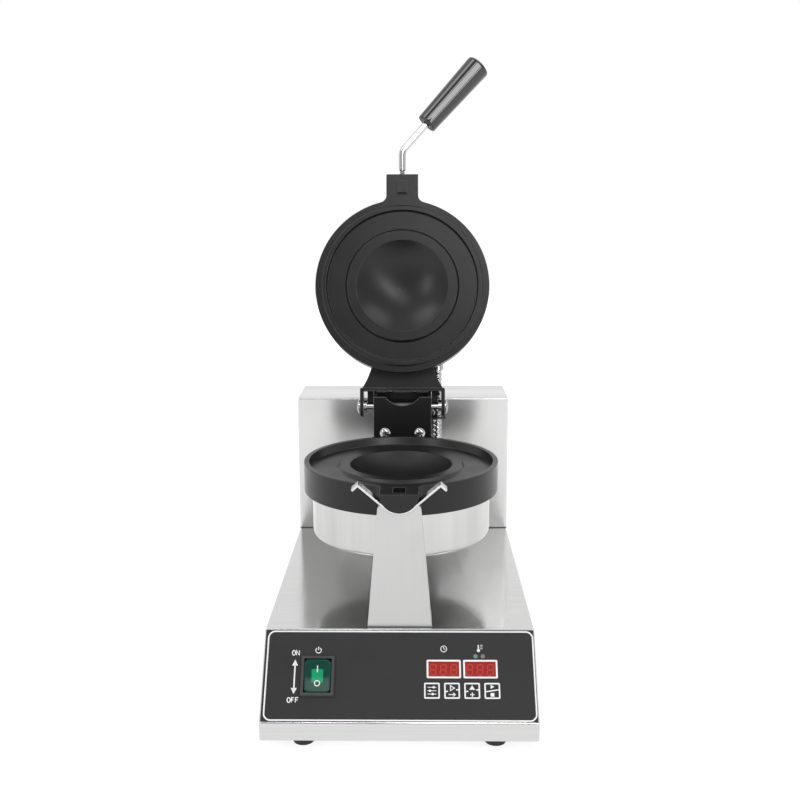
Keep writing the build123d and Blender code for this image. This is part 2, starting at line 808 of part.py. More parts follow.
def drum(frame, hose_side):
    height = drum_depth - drum_seat
    cup = Pos(0, 0, drum_bottom + height / 2) * Cylinder(drum_radius, height)
    cup = fillet(cup.edges().sort_by(Axis.Z)[0], drum_corner)
    cup = offset(cup, amount=-drum_sheet, openings=cup.faces().sort_by(Axis.Z)[-1])
    for place in drum_screw_places():
        cup -= place * Cylinder(case_screw_radius, 8 * drum_sheet)
    x, y, z = fitting_seat(hose_side)
    cup -= rod((x, y - fitting_base_length, z), (x, y + 4 * fitting_base_length, z), hose_bore)
    return frame.location * cup


def drum_screws(frame):
    screw = Rot(180, 0, 0) * dome_screw(drum_screw_head, drum_screw_head_height, case_screw_radius,
                                        case_screw_length + drum_sheet)
    return group([frame.location * place * screw for place in drum_screw_places()])


def probe(frame, bowl_low):
    top = bowl_low - bowl_wall - probe_boss_height + probe_hole_depth
    return frame.location * rod((0, 0, top - probe_length), (0, 0, top), probe_radius - probe_fit)


def foot_screw_y():
    return -(hinge_back - bracket_front) + bracket_foot / 2


def hinge_local(y, z):
    # A point given from the hinge axis, backwards and upwards
    return back(hinge_y) + y, hinge_height + z


def bracket_bolt_places():
    z = turn_height - bracket_bolt_drop
    return [(-bracket_bolt_x, z), (bracket_bolt_x, z)]


def lower_bracket():
    # A plate across the back with two cheeks for the hinge, a foot under the arm of the plate
    # and a round notch in its top edge
    foot_top = turn_height - plate_skirt
    plate_back = -bracket_front + bracket_sheet
    front, _ = hinge_local(-bracket_front, 0)
    rear, _ = hinge_local(plate_back, 0)
    top = hinge_height + bracket_above_hinge
    wide = (-bracket_half_width, bracket_half_width)
    bracket = span(wide, (front, rear), (foot_top - bracket_sheet, top))
    bracket += span(wide, (front - bracket_foot, rear), (foot_top - bracket_sheet, foot_top))
    rise = (bracket_notch_half ** 2 + bracket_notch_depth ** 2) / (2 * bracket_notch_depth)
    middle = top - bracket_notch_depth + rise
    bracket -= rod((0, front - 1, middle), (0, rear + 1, middle), rise)
    # The cheeks end in a heel, square to the open lid, that the strap rests on
    heel = strap_inner - stop_gap
    heel_front = hinge_point + lid_up * heel - lid_face * heel_width
    heel_back = hinge_point + lid_up * heel - lid_face * strap_half_depth
    outline = [(front, top), (heel_front.Y, heel_front.Z), (heel_back.Y, heel_back.Z),
               hinge_local(cheek_back, 0), hinge_local(cheek_back, -cheek_corner * cheek_height),
               hinge_local(plate_back, -cheek_height), (front, hinge_height - cheek_height)]
    cheek = make_face(Polyline(*[(bracket_half_width, y, z) for y, z in outline], close=True))
    cheek = extrude(cheek, amount=bracket_sheet, dir=(-1, 0, 0))
    for side in mirrored(cheek):
        bracket += side
    # A web across the back joins the cheeks behind the hinge
    web_back, web_low = hinge_local(cheek_back, -web_drop)
    bracket += span(wide, (web_back - bracket_sheet, web_back), (web_low, heel_back.Z))
    bracket -= rod((-half_width, *hinge_local(0, 0)), (half_width, *hinge_local(0, 0)),
                   hinge_rod_radius + hinge_fit)
    for x, z in bracket_bolt_places():
        bracket -= rod((x, front - 1, z), (x, rear + 1, z), case_screw_radius)
    for x in (-strap_screw_x, strap_screw_x):
        y = back(plate_y) - foot_screw_y()
        bracket -= Pos(x, y, foot_top) * Cylinder(case_screw_radius, 4 * bracket_sheet)
    return bracket


def bracket_screws():
    front = back(hinge_y - bracket_front)
    screw = dome_screw(bracket_bolt_head, bracket_bolt_head_height, case_screw_radius,
                       bracket_sheet + shaft_flange_sheet)
    screws = [Pos(x, front, z) * Rot(90, 0, 0) * screw for x, z in bracket_bolt_places()]
    seat = turn_height - plate_skirt - bracket_sheet
    y = back(plate_y) - foot_screw_y()
    small = dome_screw(case_screw_head, case_screw_head_height, case_screw_radius,
                       bracket_sheet + arm_thickness / 2)
    screws += [Pos(x, y, seat) * Rot(180, 0, 0) * small for x in (-strap_screw_x, strap_screw_x)]
    return group(screws)


def rotary_shaft():
    # A hollow shaft with a two-bolt flange; its bore lets the leads in from the case
    front = back(hinge_y - bracket_front + bracket_sheet)
    end = back(shaft_end)
    flange = Plane(origin=(0, front, turn_height), x_dir=(1, 0, 0), z_dir=(0, 1, 0)) * SlotOverall(
        2 * shaft_flange_half_width, 2 * shaft_flange_half_height)
    shaft = extrude(flange, amount=shaft_flange_sheet)
    shaft += rod((0, front + shaft_flange_sheet / 2, turn_height), (0, end, turn_height), shaft_radius)
    shaft -= rod((0, front + 2 * shaft_flange_sheet, turn_height), (0, end + 1, turn_height), shaft_bore)
    for x, z in bracket_bolt_places():
        shaft -= rod((x, front - 1, z), (x, front + 2 * shaft_flange_sheet, z), case_screw_radius)
    window = (front + 2 * shaft_flange_sheet, front + 2 * shaft_flange_sheet + shaft_window)
    return shaft - span((-shaft_bore / 2, shaft_bore / 2), window,
                        (turn_height - 2 * shaft_radius, turn_height))


def bearing_bolt_places():
    offsets = (-bearing_bolt_offset, bearing_bolt_offset)
    return [(x, turn_height + z) for x in offsets for z in offsets]


def bearing_housing():
    seat = back(housing_front + case_sheet)
    half = bearing_flange / 2
    block = span((-half, half), (seat, seat + bearing_flange_thickness),
                 (turn_height - half, turn_height + half))
    block = fillet(block.edges().filter_by(Axis.Y), half / 4)
    block += rod((0, seat, turn_height), (0, seat + bearing_length, turn_height), bearing_boss_radius)
    block -= rod((0, seat - 1, turn_height), (0, seat + bearing_length + 1, turn_height),
                 shaft_radius + bearing_fit)
    for x, z in bearing_bolt_places():
        block -= rod((x, seat - 1, z), (x, seat + bearing_length, z), bearing_bolt_radius)
    return block


def bearing_bolts():
    length = case_sheet + bearing_flange_thickness + bearing_bolt_spare
    bolt = dome_screw(bearing_bolt_head, bearing_bolt_head_height, bearing_bolt_radius, length)
    return group([Pos(x, back(housing_front), z) * Rot(90, 0, 0) * bolt for x, z in bearing_bolt_places()])


def shaft_collar():
    seat = back(housing_front + case_sheet + bearing_length + collar_gap)
    collar = rod((0, seat, turn_height), (0, seat + collar_length, turn_height), collar_radius)
    return collar - rod((0, seat - 1, turn_height), (0, seat + 2 * collar_length, turn_height), shaft_radius)


def hinge_sleeve():
    reach = bracket_half_width - bracket_sheet
    axis = hinge_local(0, 0)
    sleeve = rod((-reach, *axis), (reach, *axis), sleeve_radius)
    return sleeve - rod((-reach - 1, *axis), (reach + 1, *axis), hinge_rod_radius + hinge_fit)


def lid_bracket():
    # A strap screwed to the end of the lid's arm, with an ear at each end round the hinge rod.
    # Here the local Z is the way that the lid leans, away from the hinge.
    frame = Plane(origin=hinge_point, x_dir=(1, 0, 0), z_dir=lid_up)
    outer = strap_inner + strap_sheet
    strap = span((-strap_half_width, strap_half_width), (-strap_half_depth, strap_half_depth),
                 (strap_inner, outer))
    ear_face = Plane(origin=(strap_half_width - ear_sheet, 0, 0), x_dir=(0, 1, 0), z_dir=(1, 0, 0))
    low = strap_half_depth - ear_drop
    ear = extrude(ear_face * (Circle(strap_half_depth)), amount=ear_sheet)
    ear = Pos(0, 0, low) * ear
    ear += span((strap_half_width - ear_sheet, strap_half_width), (-strap_half_depth, strap_half_depth),
                (low, outer))
    # Short tabs turned down from the strap's back edge close the view past the hinge
    tab_back = strap_half_depth - strap_tab_inset
    tab = span((bracket_half_width + strap_tab_gap, strap_half_width - ear_sheet - washer_thickness
                - strap_tab_gap), (tab_back - strap_tab_sheet, tab_back), (outer - strap_tab_drop, outer))
    for side in (*mirrored(ear), *mirrored(tab)):
        strap += side
    strap -= rod((-half_width, 0, 0), (half_width, 0, 0), hinge_rod_radius)
    bend = [edge for edge in strap.edges().filter_by(Axis.Y)
            if edge.center().Z > outer - 1e-3 and abs(edge.center().X) > strap_half_width - 1e-3]
    strap = fillet(bend, ear_sheet / 2)
    for x in (-strap_screw_x, strap_screw_x):
        strap -= Pos(x, strap_screw_depth(), outer) * Cylinder(case_screw_radius, 4 * strap_sheet)
    return frame.location * strap


def strap_screw_depth():
    # The strap's local Y looks away from the lid's face
    return plate_skirt - arm_thickness / 2 - hinge_rise


def lid_bracket_screws():
    frame = Plane(origin=hinge_point, x_dir=(1, 0, 0), z_dir=lid_up)
    screw = Rot(180, 0, 0) * dome_screw(case_screw_head, case_screw_head_height, case_screw_radius,
                                        strap_sheet + 1.5 * case_screw_length)
    return group([frame.location * Pos(x, strap_screw_depth(), strap_inner) * screw
                  for x in (-strap_screw_x, strap_screw_x)])


def hinge_rod():
    axis = hinge_local(0, 0)
    bar = rod((-strap_half_width, *axis), (strap_half_width, *axis), hinge_rod_radius)
    head = dome_screw(hinge_head_radius, hinge_head_height, hinge_rod_radius, ear_sheet)
    head = Pos(strap_half_width, *axis) * Rot(0, 90, 0) * head
    for side in mirrored(head):
        bar += side
    return bar


def hinge_washers():
    axis = hinge_local(0, 0)
    inner = bracket_half_width + plate_gap
    face = strap_half_width - ear_sheet
    stack = rod((inner, *axis), (face, *axis), nut_radius)
    stack += rod((face - washer_thickness, *axis), (face, *axis), washer_radius)
    stack -= rod((inner - 1, *axis), (face + 1, *axis), hinge_rod_radius)
    return group(mirrored(stack))


def fitting_seat(side):
    # Where a hose fitting meets the drum, in the plate's frame; side is the local X of the hose
    x = side * hose_x
    depth = hose_drop if side < 0 else hose_lid_depth
    return x, -math.sqrt(drum_radius ** 2 - hose_x ** 2), -depth


def hose_fitting(frame, side):
    x, y, z = fitting_seat(side)
    start = y + fitting_base_length
    fitting = rod((x, start, z), (x, y - fitting_length, z), fitting_radius - 1)
    fitting += rod((x, start, z), (x, y - fitting_base_length, z), fitting_base_radius)
    fitting += rod((x, y - fitting_length / 2, z), (x, y - fitting_length, z), fitting_radius)
    fitting -= rod((x, start + 1, z), (x, y - 2 * fitting_length, z), hose_bore)
    inside = Cylinder(drum_radius, 4 * drum_depth)
    return frame.location * (fitting - inside)


def hose_points():
    # The hose's middle line in the plane of hose_x, from the lower drum to the lid's drum
    _, low_y, low_z = fitting_seat(-1)
    _, high_y, high_z = fitting_seat(1)
    start = (back(plate_y) - low_y + fitting_length, turn_height + low_z)
    end = lid_frame.origin + lid_up * (high_y - fitting_length) + lid_face * high_z
    rear = back(hinge_y + hose_run_back)
    return [start, (start[0] + hose_end_run, start[1]), (rear - hose_rise_lean, start[1] + hose_sweep),
            (rear - hose_clip_lean, hinge_height - clip_drop), (rear, hinge_height + hose_turn_rise),
            (end.Y - lid_up.Y * hose_end_run, end.Z - lid_up.Z * hose_end_run), (end.Y, end.Z)]


def hose_line():
    points = [(hose_x, y, z) for y, z in hose_points()]
    radii = []
    for before, corner, after in zip(points, points[1:], points[2:]):
        one = Vector(*corner) - Vector(*before)
        two = Vector(*after) - Vector(*corner)
        turn = math.radians(one.get_angle(two))
        radii.append(hose_corner_share * min(one.length, two.length) / math.tan(turn / 2))
    return FilletPolyline(*points, radius=radii), radii


def armoured_hose():
    # Each rib is four circles along the line: two at full radius, two in the groove after it
    line, _ = hose_line()
    length = line.length
    straight = 2 * hose_radius
    count = round((length - 2 * straight) / hose_pitch)
    pitch = (length - 2 * straight) / count
    stations = [(0, hose_radius)]
    for rib in range(count):
        begin = straight + rib * pitch
        stations += [(begin + 0.04 * pitch, hose_radius), (begin + 0.54 * pitch, hose_radius),
                     (begin + 0.66 * pitch, hose_radius - hose_groove),
                     (begin + 0.92 * pitch, hose_radius - hose_groove)]
    stations += [(length - straight, hose_radius), (length, hose_radius)]

    def section(distance, radius):
        share = distance / length
        return Plane(origin=line @ share, x_dir=(1, 0, 0), z_dir=line % share) * Circle(radius)

    tube = loft([section(distance, radius) for distance, radius in stations], ruled=True)
    bore = sweep(section(0, hose_bore), path=line)
    return tube - bore


def hose_clip():
    # A band round the hose with a tab to the bracket's cheek and a screw ear on the other side
    line, _ = hose_line()
    height = hinge_height - clip_drop
    spot = min((line @ (i / 400) for i in range(401)), key=lambda p: abs(p.Z - height))
    inner = hose_radius + clip_fit
    outer = inner + clip_band
    band = Pos(hose_x, spot.Y, height) * Cylinder(outer, clip_height)
    level = (height - clip_height / 2, height + clip_height / 2)
    tab_start = back(hinge_y + cheek_back) - clip_tab_width
    tab = span((bracket_half_width, hose_x), (tab_start, spot.Y - hose_radius), level)
    ear = span((hose_x + inner, hose_x + inner + clip_ear), (spot.Y - clip_ear / 2, spot.Y + clip_ear / 2),
               level)
    return band + tab + ear - Pos(hose_x, spot.Y, height) * Cylinder(inner, 4 * clip_height)


def handle_line():
    start = (0, plate_radius + lug_reach - handle_thread_hold, -handle_depth)
    bend = (0, handle_bend_at, -handle_depth)
    across = math.sin(math.radians(handle_angle))
    along = math.cos(math.radians(handle_angle))
    reach = handle_grip_start + handle_rod_in_grip
    end = (across * reach, handle_bend_at + along * reach, -handle_depth)
    return start, bend, end, (across, along)


def handle_rod():
    start, bend, end, _ = handle_line()
    tip = plate_radius + lug_reach
    shoulder = (0, tip + handle_thread_length, -handle_depth)
    line = FilletPolyline(shoulder, bend, end, radius=handle_bend_radius)
    bar = sweep(Plane(origin=line @ 0, z_dir=line % 0) * Circle(handle_rod_radius), path=line)
    bar += rod(start, shoulder, handle_thread_radius)
    return lid_frame.location * bar


def handle_grip():
    _, bend, _, (across, along) = handle_line()
    origin = Vector(*bend) + Vector(across, along, 0) * handle_grip_start
    length = handle_grip_length
    full = length - grip_end_round
    near = grip_near_radius
    shoulder = grip_far_radius
    curve = cap_arc(shoulder, full, length)
    lines = Polyline((0, 0, length), (0, 0, 0), (near - grip_near_round, 0, 0),
                     (near, 0, grip_near_round), (shoulder, 0, full))
    grip = revolve(make_face(Wire([curve, *lines.edges()])), Axis.Z)
    rim = [edge for edge in grip.edges() if abs(edge.center(CenterOf.BOUNDING_BOX).Z - full) < 0.01]
    grip = fillet(rim, grip_rim_round)
    grip -= Pos(0, 0, handle_rod_in_grip / 2) * Cylinder(handle_rod_radius, handle_rod_in_grip)
    place = Plane(origin=origin, z_dir=(across, along, 0))
    return lid_frame.location * (place.location * grip)


def module_window():
    # The opening in the slope behind the displays, lamps and keys
    left = key_x[0] - key_size / 2 - module_margin
    right = key_x[-1] + key_size / 2 + module_margin
    low = key_s - key_size / 2 - module_margin
    high = lamp_s + lamp_radius + module_margin
    return (left + right) / 2, (low + high) / 2, right - left, high - low


def control_overlay():
    sheet = slope_block(0, slope_length / 2, case_width - 2 * panel_margin, slope_length - 2 * panel_margin,
                        0, panel_sheet)
    depth = (-panel_sheet, 2 * panel_sheet)
    sheet -= slope_block(switch_x, switch_s, switch_width - switch_wall, switch_length - switch_wall, *depth)
    for x in display_x:
        sheet -= slope_block(x, display_s, display_width, display_length, *depth)
    for x in key_x:
        sheet -= slope_block(x, key_s, key_size + 2 * key_clearance, key_size + 2 * key_clearance, *depth)
    for x in lamp_x:
        sheet -= on_slope(x, lamp_s) * Cylinder(lamp_radius, 4 * panel_sheet)
    return sheet


def switch_frame():
    top = panel_sheet + switch_frame_height
    width = switch_width - 2 * switch_wall
    length = switch_length - 2 * switch_wall
    frame = slope_block(switch_x, switch_s, switch_width, switch_length, panel_sheet, top)
    frame = chamfer(frame.faces().sort_by(Axis(slope.origin, slope.z_dir))[-1].edges(), switch_chamfer)
    frame += slope_block(switch_x, switch_s, switch_width - switch_wall, switch_length - switch_wall,
                         panel_sheet - switch_body_depth, panel_sheet)
    frame -= slope_block(switch_x, switch_s, width, length, panel_sheet - switch_floor_depth, top + 1)
    reach = switch_width / 2 - switch_pin_wall
    pivot = rod((-reach, 0, 0), (reach, 0, 0), rocker_pin_radius + hinge_fit)
    return frame - on_slope(switch_x, switch_s, panel_sheet - rocker_pivot_depth) * pivot


def power_rocker():
    # A rocker with a shallow V top: it rests with its lower half pressed
    width = switch_width - 2 * switch_wall - 2 * rocker_clearance
    length = switch_length - 2 * switch_wall - 4 * rocker_clearance
    half = length / 2
    dip = math.tan(math.radians(rocker_rest_angle)) * half
    top = rocker_pivot_depth + rocker_rise
    end = half - rocker_end_slant
    outline = [(-end, -rocker_end_slant), (0, -rocker_keel), (end, -rocker_end_slant),
               (half, rocker_end_slant), (end, top + dip / 2), (0, top - dip / 2),
               (-end, top + dip / 2), (-half, rocker_end_slant)]
    face = make_face(Polyline(*[(-width / 2, s, m) for s, m in outline], close=True))
    cap = extrude(face, amount=width, dir=(1, 0, 0))
    reach = width / 2 + rocker_clearance + rocker_pin_reach
    cap += rod((-reach, 0, 0), (reach, 0, 0), rocker_pin_radius)
    tilt = Rot(rocker_rest_angle, 0, 0)
    return on_slope(switch_x, switch_s, panel_sheet - rocker_pivot_depth) * tilt * cap


def display_windows():
    low = panel_sheet - display_window_sheet
    return group([slope_block(x, display_s, display_width, display_length, low, panel_sheet)
                  for x in display_x])


def display_modules():
    low = -board_depth
    return group([slope_block(x, display_s, display_width - 1, display_length - 1, low,
                              panel_sheet - display_window_sheet) for x in display_x])


def indicator_lamps():
    lamp = Pos(0, 0, -board_depth) * extrude(Circle(lamp_radius), board_depth + panel_sheet)
    return group([on_slope(x, lamp_s) * lamp for x in lamp_x])


def control_key(x):
    cap = slope_block(x, key_s, key_size, key_size, panel_sheet - key_sheet, panel_sheet)
    low = -board_depth + tact_height + 2 * key_travel
    stem = extrude(Circle(key_stem_radius), panel_sheet - key_sheet - low)
    stem = on_slope(x, key_s, low) * stem
    return cap + stem


def control_board():
    x, s, width, length = module_window()
    board = slope_block(x, s, width + 2 * spacer_inset, length + 2 * spacer_inset,
                        -board_depth - board_sheet, -board_depth)
    for place in spacer_places():
        board -= on_slope(*place, -board_depth) * Cylinder(spacer_radius / 2, 4 * board_sheet)
    return board


def spacer_places():
    x, s, width, length = module_window()
    return [(x + sx * (width / 2 + spacer_offset), s + ss * (length / 2 - spacer_radius))
            for sx in (-1, 1) for ss in (-1, 1)]


def board_spacers():
    spacer = Pos(0, 0, -board_depth) * extrude(Circle(spacer_radius / 2), board_depth - case_sheet)
    foot = Pos(0, 0, -board_depth - board_sheet) * extrude(Circle(spacer_radius / 2), board_sheet)
    return group([on_slope(*place) * (spacer + foot) for place in spacer_places()])


def tact_switches():
    return group([slope_block(x, key_s, tact_size, tact_size, -board_depth, -board_depth + tact_height)
                  for x in key_x])


def seated(place, size):
    # A block that stands on the bottom plate
    return Pos(place[0], back(place[1]), bottom_height + size[2] / 2) * Box(*size)


def terminal_block():
    width, depth, height = terminal_size
    block = seated(terminal_place, terminal_size)
    pole = width / terminal_poles
    for index in range(terminal_poles):
        x = terminal_place[0] - width / 2 + (index + 0.5) * pole
        for side in (-1, 1):
            block -= Pos(x, back(terminal_place[1]) + side * depth / 2, bottom_height + height) * Box(
                pole - 2 * terminal_wall, terminal_ledge, 2 * (height - terminal_ledge))
    return block


def relay_module():
    width, depth, height = relay_size
    block = seated(relay_place, relay_size)
    for index in range(relay_slots):
        x = relay_place[0] - width / 2 + (index + 1) * width / (relay_slots + 1)
        block -= Pos(x, back(relay_place[1]), bottom_height + height) * Box(
            relay_slot, 2 * depth, 2 * relay_slot_depth)
    return block


def transformer():
    core = seated(transformer_place, transformer_size)
    x, y = transformer_place[0], back(transformer_place[1])
    coil = Pos(x, y, bottom_height + transformer_size[2] / 2) * Box(*coil_size)
    return core + fillet(coil.edges().filter_by(Axis.Z), coil_round)


def pieces():
    lower_bowl = lower_lip - bowl_depth
    upper_bowl = upper_lip - bowl_depth
    made = {
        "base_shell": base_shell(), "bottom_plate": bottom_plate(), "rubber_feet": rubber_feet(),
        "foot_screws": foot_screws(), "rear_housing": rear_housing(), "back_cover": back_cover(),
        "cover_screws": cover_screws(), "cable_gland": cable_gland(), "gland_nut": gland_nut(),
        "front_post": front_post(), "post_screws": post_screws(), "cradle": cradle(),
        "control_overlay": control_overlay(), "switch_frame": switch_frame(),
        "display_windows": display_windows(), "display_modules": display_modules(),
        "indicator_lamps": indicator_lamps(), "control_board": control_board(),
        "board_spacers": board_spacers(), "tact_switches": tact_switches(),
        "terminal_block": terminal_block(), "relay_module": relay_module(), "transformer": transformer(),
        "bearing_housing": bearing_housing(), "bearing_bolts": bearing_bolts(),
        "lower_plate": lower_plate(), "lower_heater": heater(lower_frame),
        "lower_insulation": insulation(lower_frame), "lower_drum": drum(lower_frame, -1),
        "lower_drum_screws": drum_screws(lower_frame), "lower_probe": probe(lower_frame, lower_bowl),
        "lower_bracket": lower_bracket(), "bracket_screws": bracket_screws(),
        "rotary_shaft": rotary_shaft(), "shaft_collar": shaft_collar(), "hinge_sleeve": hinge_sleeve(),
        "lower_hose_fitting": hose_fitting(lower_frame, -1), "hose_clip": hose_clip(),
        "armoured_hose": armoured_hose(),
        "upper_plate": upper_plate(), "upper_heater": heater(lid_frame),
        "upper_insulation": insulation(lid_frame), "upper_drum": drum(lid_frame, 1),
        "upper_drum_screws": drum_screws(lid_frame), "upper_probe": probe(lid_frame, upper_bowl),
        "lid_bracket": lid_bracket(), "lid_bracket_screws": lid_bracket_screws(),
        "hinge_rod": hinge_rod(), "hinge_washers": hinge_washers(),
        "upper_hose_fitting": hose_fitting(lid_frame, 1),
        "handle_rod": handle_rod(), "handle_grip": handle_grip(), "power_rocker": power_rocker(),
    }
    for name, x in zip(key_names, key_x):
        made[name] = control_key(x)
    return made


os.makedirs("parts", exist_ok=True)
for name, shape in pieces().items():
    export_step(shape, f"parts/{name}.step")
hose, hose_radii = hose_line()
print("hose length", round(hose.length, 1), "radii", [round(r, 1) for r in hose_radii])
print("hinge", hinge_point, "lid middle", lid_frame.origin, "front", front_y)
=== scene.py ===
import json
import math
import bpy
import bmesh
import numpy as np
from mathutils import Matrix, Vector


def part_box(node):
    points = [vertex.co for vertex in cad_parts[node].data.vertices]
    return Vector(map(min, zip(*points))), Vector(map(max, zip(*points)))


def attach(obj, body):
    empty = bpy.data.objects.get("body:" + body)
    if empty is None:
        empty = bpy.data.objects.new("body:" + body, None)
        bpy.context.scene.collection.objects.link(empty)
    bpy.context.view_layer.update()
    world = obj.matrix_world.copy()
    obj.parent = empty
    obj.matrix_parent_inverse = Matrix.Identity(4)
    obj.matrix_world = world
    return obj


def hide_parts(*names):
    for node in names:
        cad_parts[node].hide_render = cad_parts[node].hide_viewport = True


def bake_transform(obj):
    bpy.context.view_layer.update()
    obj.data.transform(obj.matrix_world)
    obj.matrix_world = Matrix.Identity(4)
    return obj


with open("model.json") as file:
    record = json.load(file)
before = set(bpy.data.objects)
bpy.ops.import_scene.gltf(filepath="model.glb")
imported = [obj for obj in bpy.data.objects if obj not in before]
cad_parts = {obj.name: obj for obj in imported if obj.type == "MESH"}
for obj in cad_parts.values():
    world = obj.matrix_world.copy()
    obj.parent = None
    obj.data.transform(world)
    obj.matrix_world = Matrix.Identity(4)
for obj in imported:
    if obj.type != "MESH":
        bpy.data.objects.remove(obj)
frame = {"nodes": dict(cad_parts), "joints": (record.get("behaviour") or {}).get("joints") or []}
scene = bpy.context.scene
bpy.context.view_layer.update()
print("frame: loaded", len(frame["nodes"]), "nodes")


def sinCos(degrees):
    return math.sin(math.radians(degrees)), math.cos(math.radians(degrees))


# Lengths in the dictionaries are millimetres; mm turns them into metres
mm = 0.001
caseLow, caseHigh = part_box("base_shell")
frontY, deckZ = caseLow[1], caseHigh[2]
turnHeight = frame["joints"][0]["pos_m"][2]
hingePoint = np.array(frame["joints"][1]["pos_m"])

# The plates' places: the hinge lies behind each plate's middle and above the plane where the two meet
heads = {
    "plateY": 182.2, "hingeBack": 137.1, "hingeRise": 25.4, "lidLean": 14.4,
    "plateRadius": 99.2, "lugReach": 29.2, "bracketFront": 10.3, "boltDrop": 3.2,
}
leanSin, leanCos = sinCos(heads["lidLean"])
lidUp = np.array([0, leanSin, leanCos])
lidFace = np.array([0, -leanCos, leanSin])


def placeMatrix(origin, xAxis, yAxis, zAxis):
    # Columns are the local axes, so local points turn into frame points
    matrix = np.eye(4)
    matrix[:3, 0], matrix[:3, 1], matrix[:3, 2], matrix[:3, 3] = xAxis, yAxis, zAxis, origin
    return matrix


# Local Y of a head runs from its hinge to its lug, local Z is the way its face looks
lowerPlace = placeMatrix((0, frontY + heads["plateY"] * mm, turnHeight), (-1, 0, 0), (0, -1, 0), (0, 0, 1))
lidPlace = placeMatrix(hingePoint + (lidUp * heads["hingeBack"] + lidFace * heads["hingeRise"]) * mm,
                       (1, 0, 0), lidUp, lidFace)

# The sloped front: local X to the right, Y up the slope, Z out of the panel
slope = {"foldHeight": 28.5, "run": 54.5, "film": 0.8}
slopeTurn = math.atan2(deckZ - slope["foldHeight"] * mm, slope["run"] * mm)
slopePlace = placeMatrix((0, frontY, slope["foldHeight"] * mm), (1, 0, 0),
                         (0, math.cos(slopeTurn), math.sin(slopeTurn)),
                         (0, -math.sin(slopeTurn), math.cos(slopeTurn)))


def fullTurn(steps):
    return np.linspace(0, 2 * math.pi, steps, endpoint=False)


def placed(points, matrix):
    shape = points.shape
    flat = points.reshape(-1, 3)
    return (flat @ matrix[:3, :3].T + matrix[:3, 3]).reshape(shape)


weldDistance = 1e-6


def linked(name, data):
    made = bpy.data.objects.new(name, data)
    scene.collection.objects.link(made)
    return made


def addMesh(name, points, faces, sharp=40):
    # points (n, 3) and faces (m, 4); doubles are merged, so poles and seams close, and faces turn outwards
    mesh = bpy.data.meshes.new(name)
    mesh.from_pydata(points.reshape(-1, 3).tolist(), [], faces.tolist())
    work = bmesh.new()
    work.from_mesh(mesh)
    bmesh.ops.remove_doubles(work, verts=work.verts, dist=weldDistance)
    bmesh.ops.recalc_face_normals(work, faces=work.faces)
    work.to_mesh(mesh)
    work.free()
    mesh.shade_smooth()
    mesh.set_sharp_from_angle(angle=math.radians(sharp))
    return linked(name, mesh)


def gridFaces(rows, columns, wrapRows=False, wrapColumns=False):
    # Index quads of a rows by columns grid, joined round where asked
    i = np.arange(rows if wrapRows else rows - 1)[:, None]
    j = np.arange(columns if wrapColumns else columns - 1)[None, :]
    nextI, nextJ = (i + 1) % rows, (j + 1) % columns
    quads = np.stack([i * columns + j, i * columns + nextJ, nextI * columns + nextJ, nextI * columns + j], -1)
    return quads.reshape(-1, 4)


def gridPiece(name, grids, matrix, sharp=40):
    # Each grid is (points in mm (rows, columns, 3), wrapRows, wrapColumns); all become one mesh
    points, faces, start = [], [], 0
    for grid, wrapRows, wrapColumns in grids:
        rows, columns = grid.shape[:2]
        faces.append(gridFaces(rows, columns, wrapRows, wrapColumns) + start)
        points.append(grid.reshape(-1, 3))
        start += rows * columns
    return addMesh(name, placed(np.concatenate(points) * mm, matrix), np.concatenate(faces), sharp)


def roundCorners(corners, steps=6):
    # corners are (a, b, radius); each corner becomes an arc that touches both of its runs
    points = []
    for index, (a, b, radius) in enumerate(corners):
        if radius <= 0 or index in (0, len(corners) - 1):
            points.append((a, b))
            continue
        here = np.array([a, b], float)
        before = np.array(corners[index - 1][:2]) - here
        after = np.array(corners[index + 1][:2]) - here
        lengthBefore, lengthAfter = np.linalg.norm(before), np.linalg.norm(after)
        before, after = before / lengthBefore, after / lengthAfter
        half = math.acos(np.clip(before @ after, -1, 1)) / 2
        reach = min(radius / math.tan(half), 0.48 * lengthBefore, 0.48 * lengthAfter)
        radius = reach * math.tan(half)
        middle = here + (before + after) / np.linalg.norm(before + after) * radius / math.sin(half)
        start, end = here + before * reach - middle, here + after * reach - middle
        bend = math.atan2(start[0] * end[1] - start[1] * end[0], start @ end)
        angle = np.linspace(0, bend, steps + 1)[:, None]
        points += list(middle + start * np.cos(angle) + np.array([-start[1], start[0]]) * np.sin(angle))
    return np.array(points)


def capProfile(radius, low, high, steps=12):
    # A spherical cap's section from its rim to its top on the axis, as (radius, height)
    sphere = (radius ** 2 + (high - low) ** 2) / (2 * (high - low))
    reach = np.linspace(radius, 0, steps)
    return np.stack([reach, high - sphere + np.sqrt(sphere ** 2 - reach ** 2)], -1)


def turnedGrid(profile, steps=160):
    # profile (n, 2) holds radius and height; each point turns round the local Z axis
    angle = fullTurn(steps)
    radius, height = profile[:, 0][:, None], profile[:, 1][:, None]
    return np.stack([radius * np.cos(angle), radius * np.sin(angle), height + 0 * angle], -1), False, True


def tubeGrid(path, radius, across, steps=32):
    # A circle carried along a path in the plane square to across; radius is (n,) or (n, steps)
    tangent = np.gradient(path, axis=0)
    tangent /= np.linalg.norm(tangent, axis=1)[:, None]
    across = np.array(across, float)
    normal = np.cross(tangent, across)
    angle = fullTurn(steps)
    radius = np.broadcast_to(radius if radius.ndim == 2 else radius[:, None], (len(path), steps))
    ring = across * np.cos(angle)[None, :, None] + normal[:, None] * np.sin(angle)[None, :, None]
    points = path[:, None] + radius[..., None] * ring
    first, last = np.broadcast_to(path[0], (1, steps, 3)), np.broadcast_to(path[-1], (1, steps, 3))
    return np.concatenate([first, points, last]), False, True


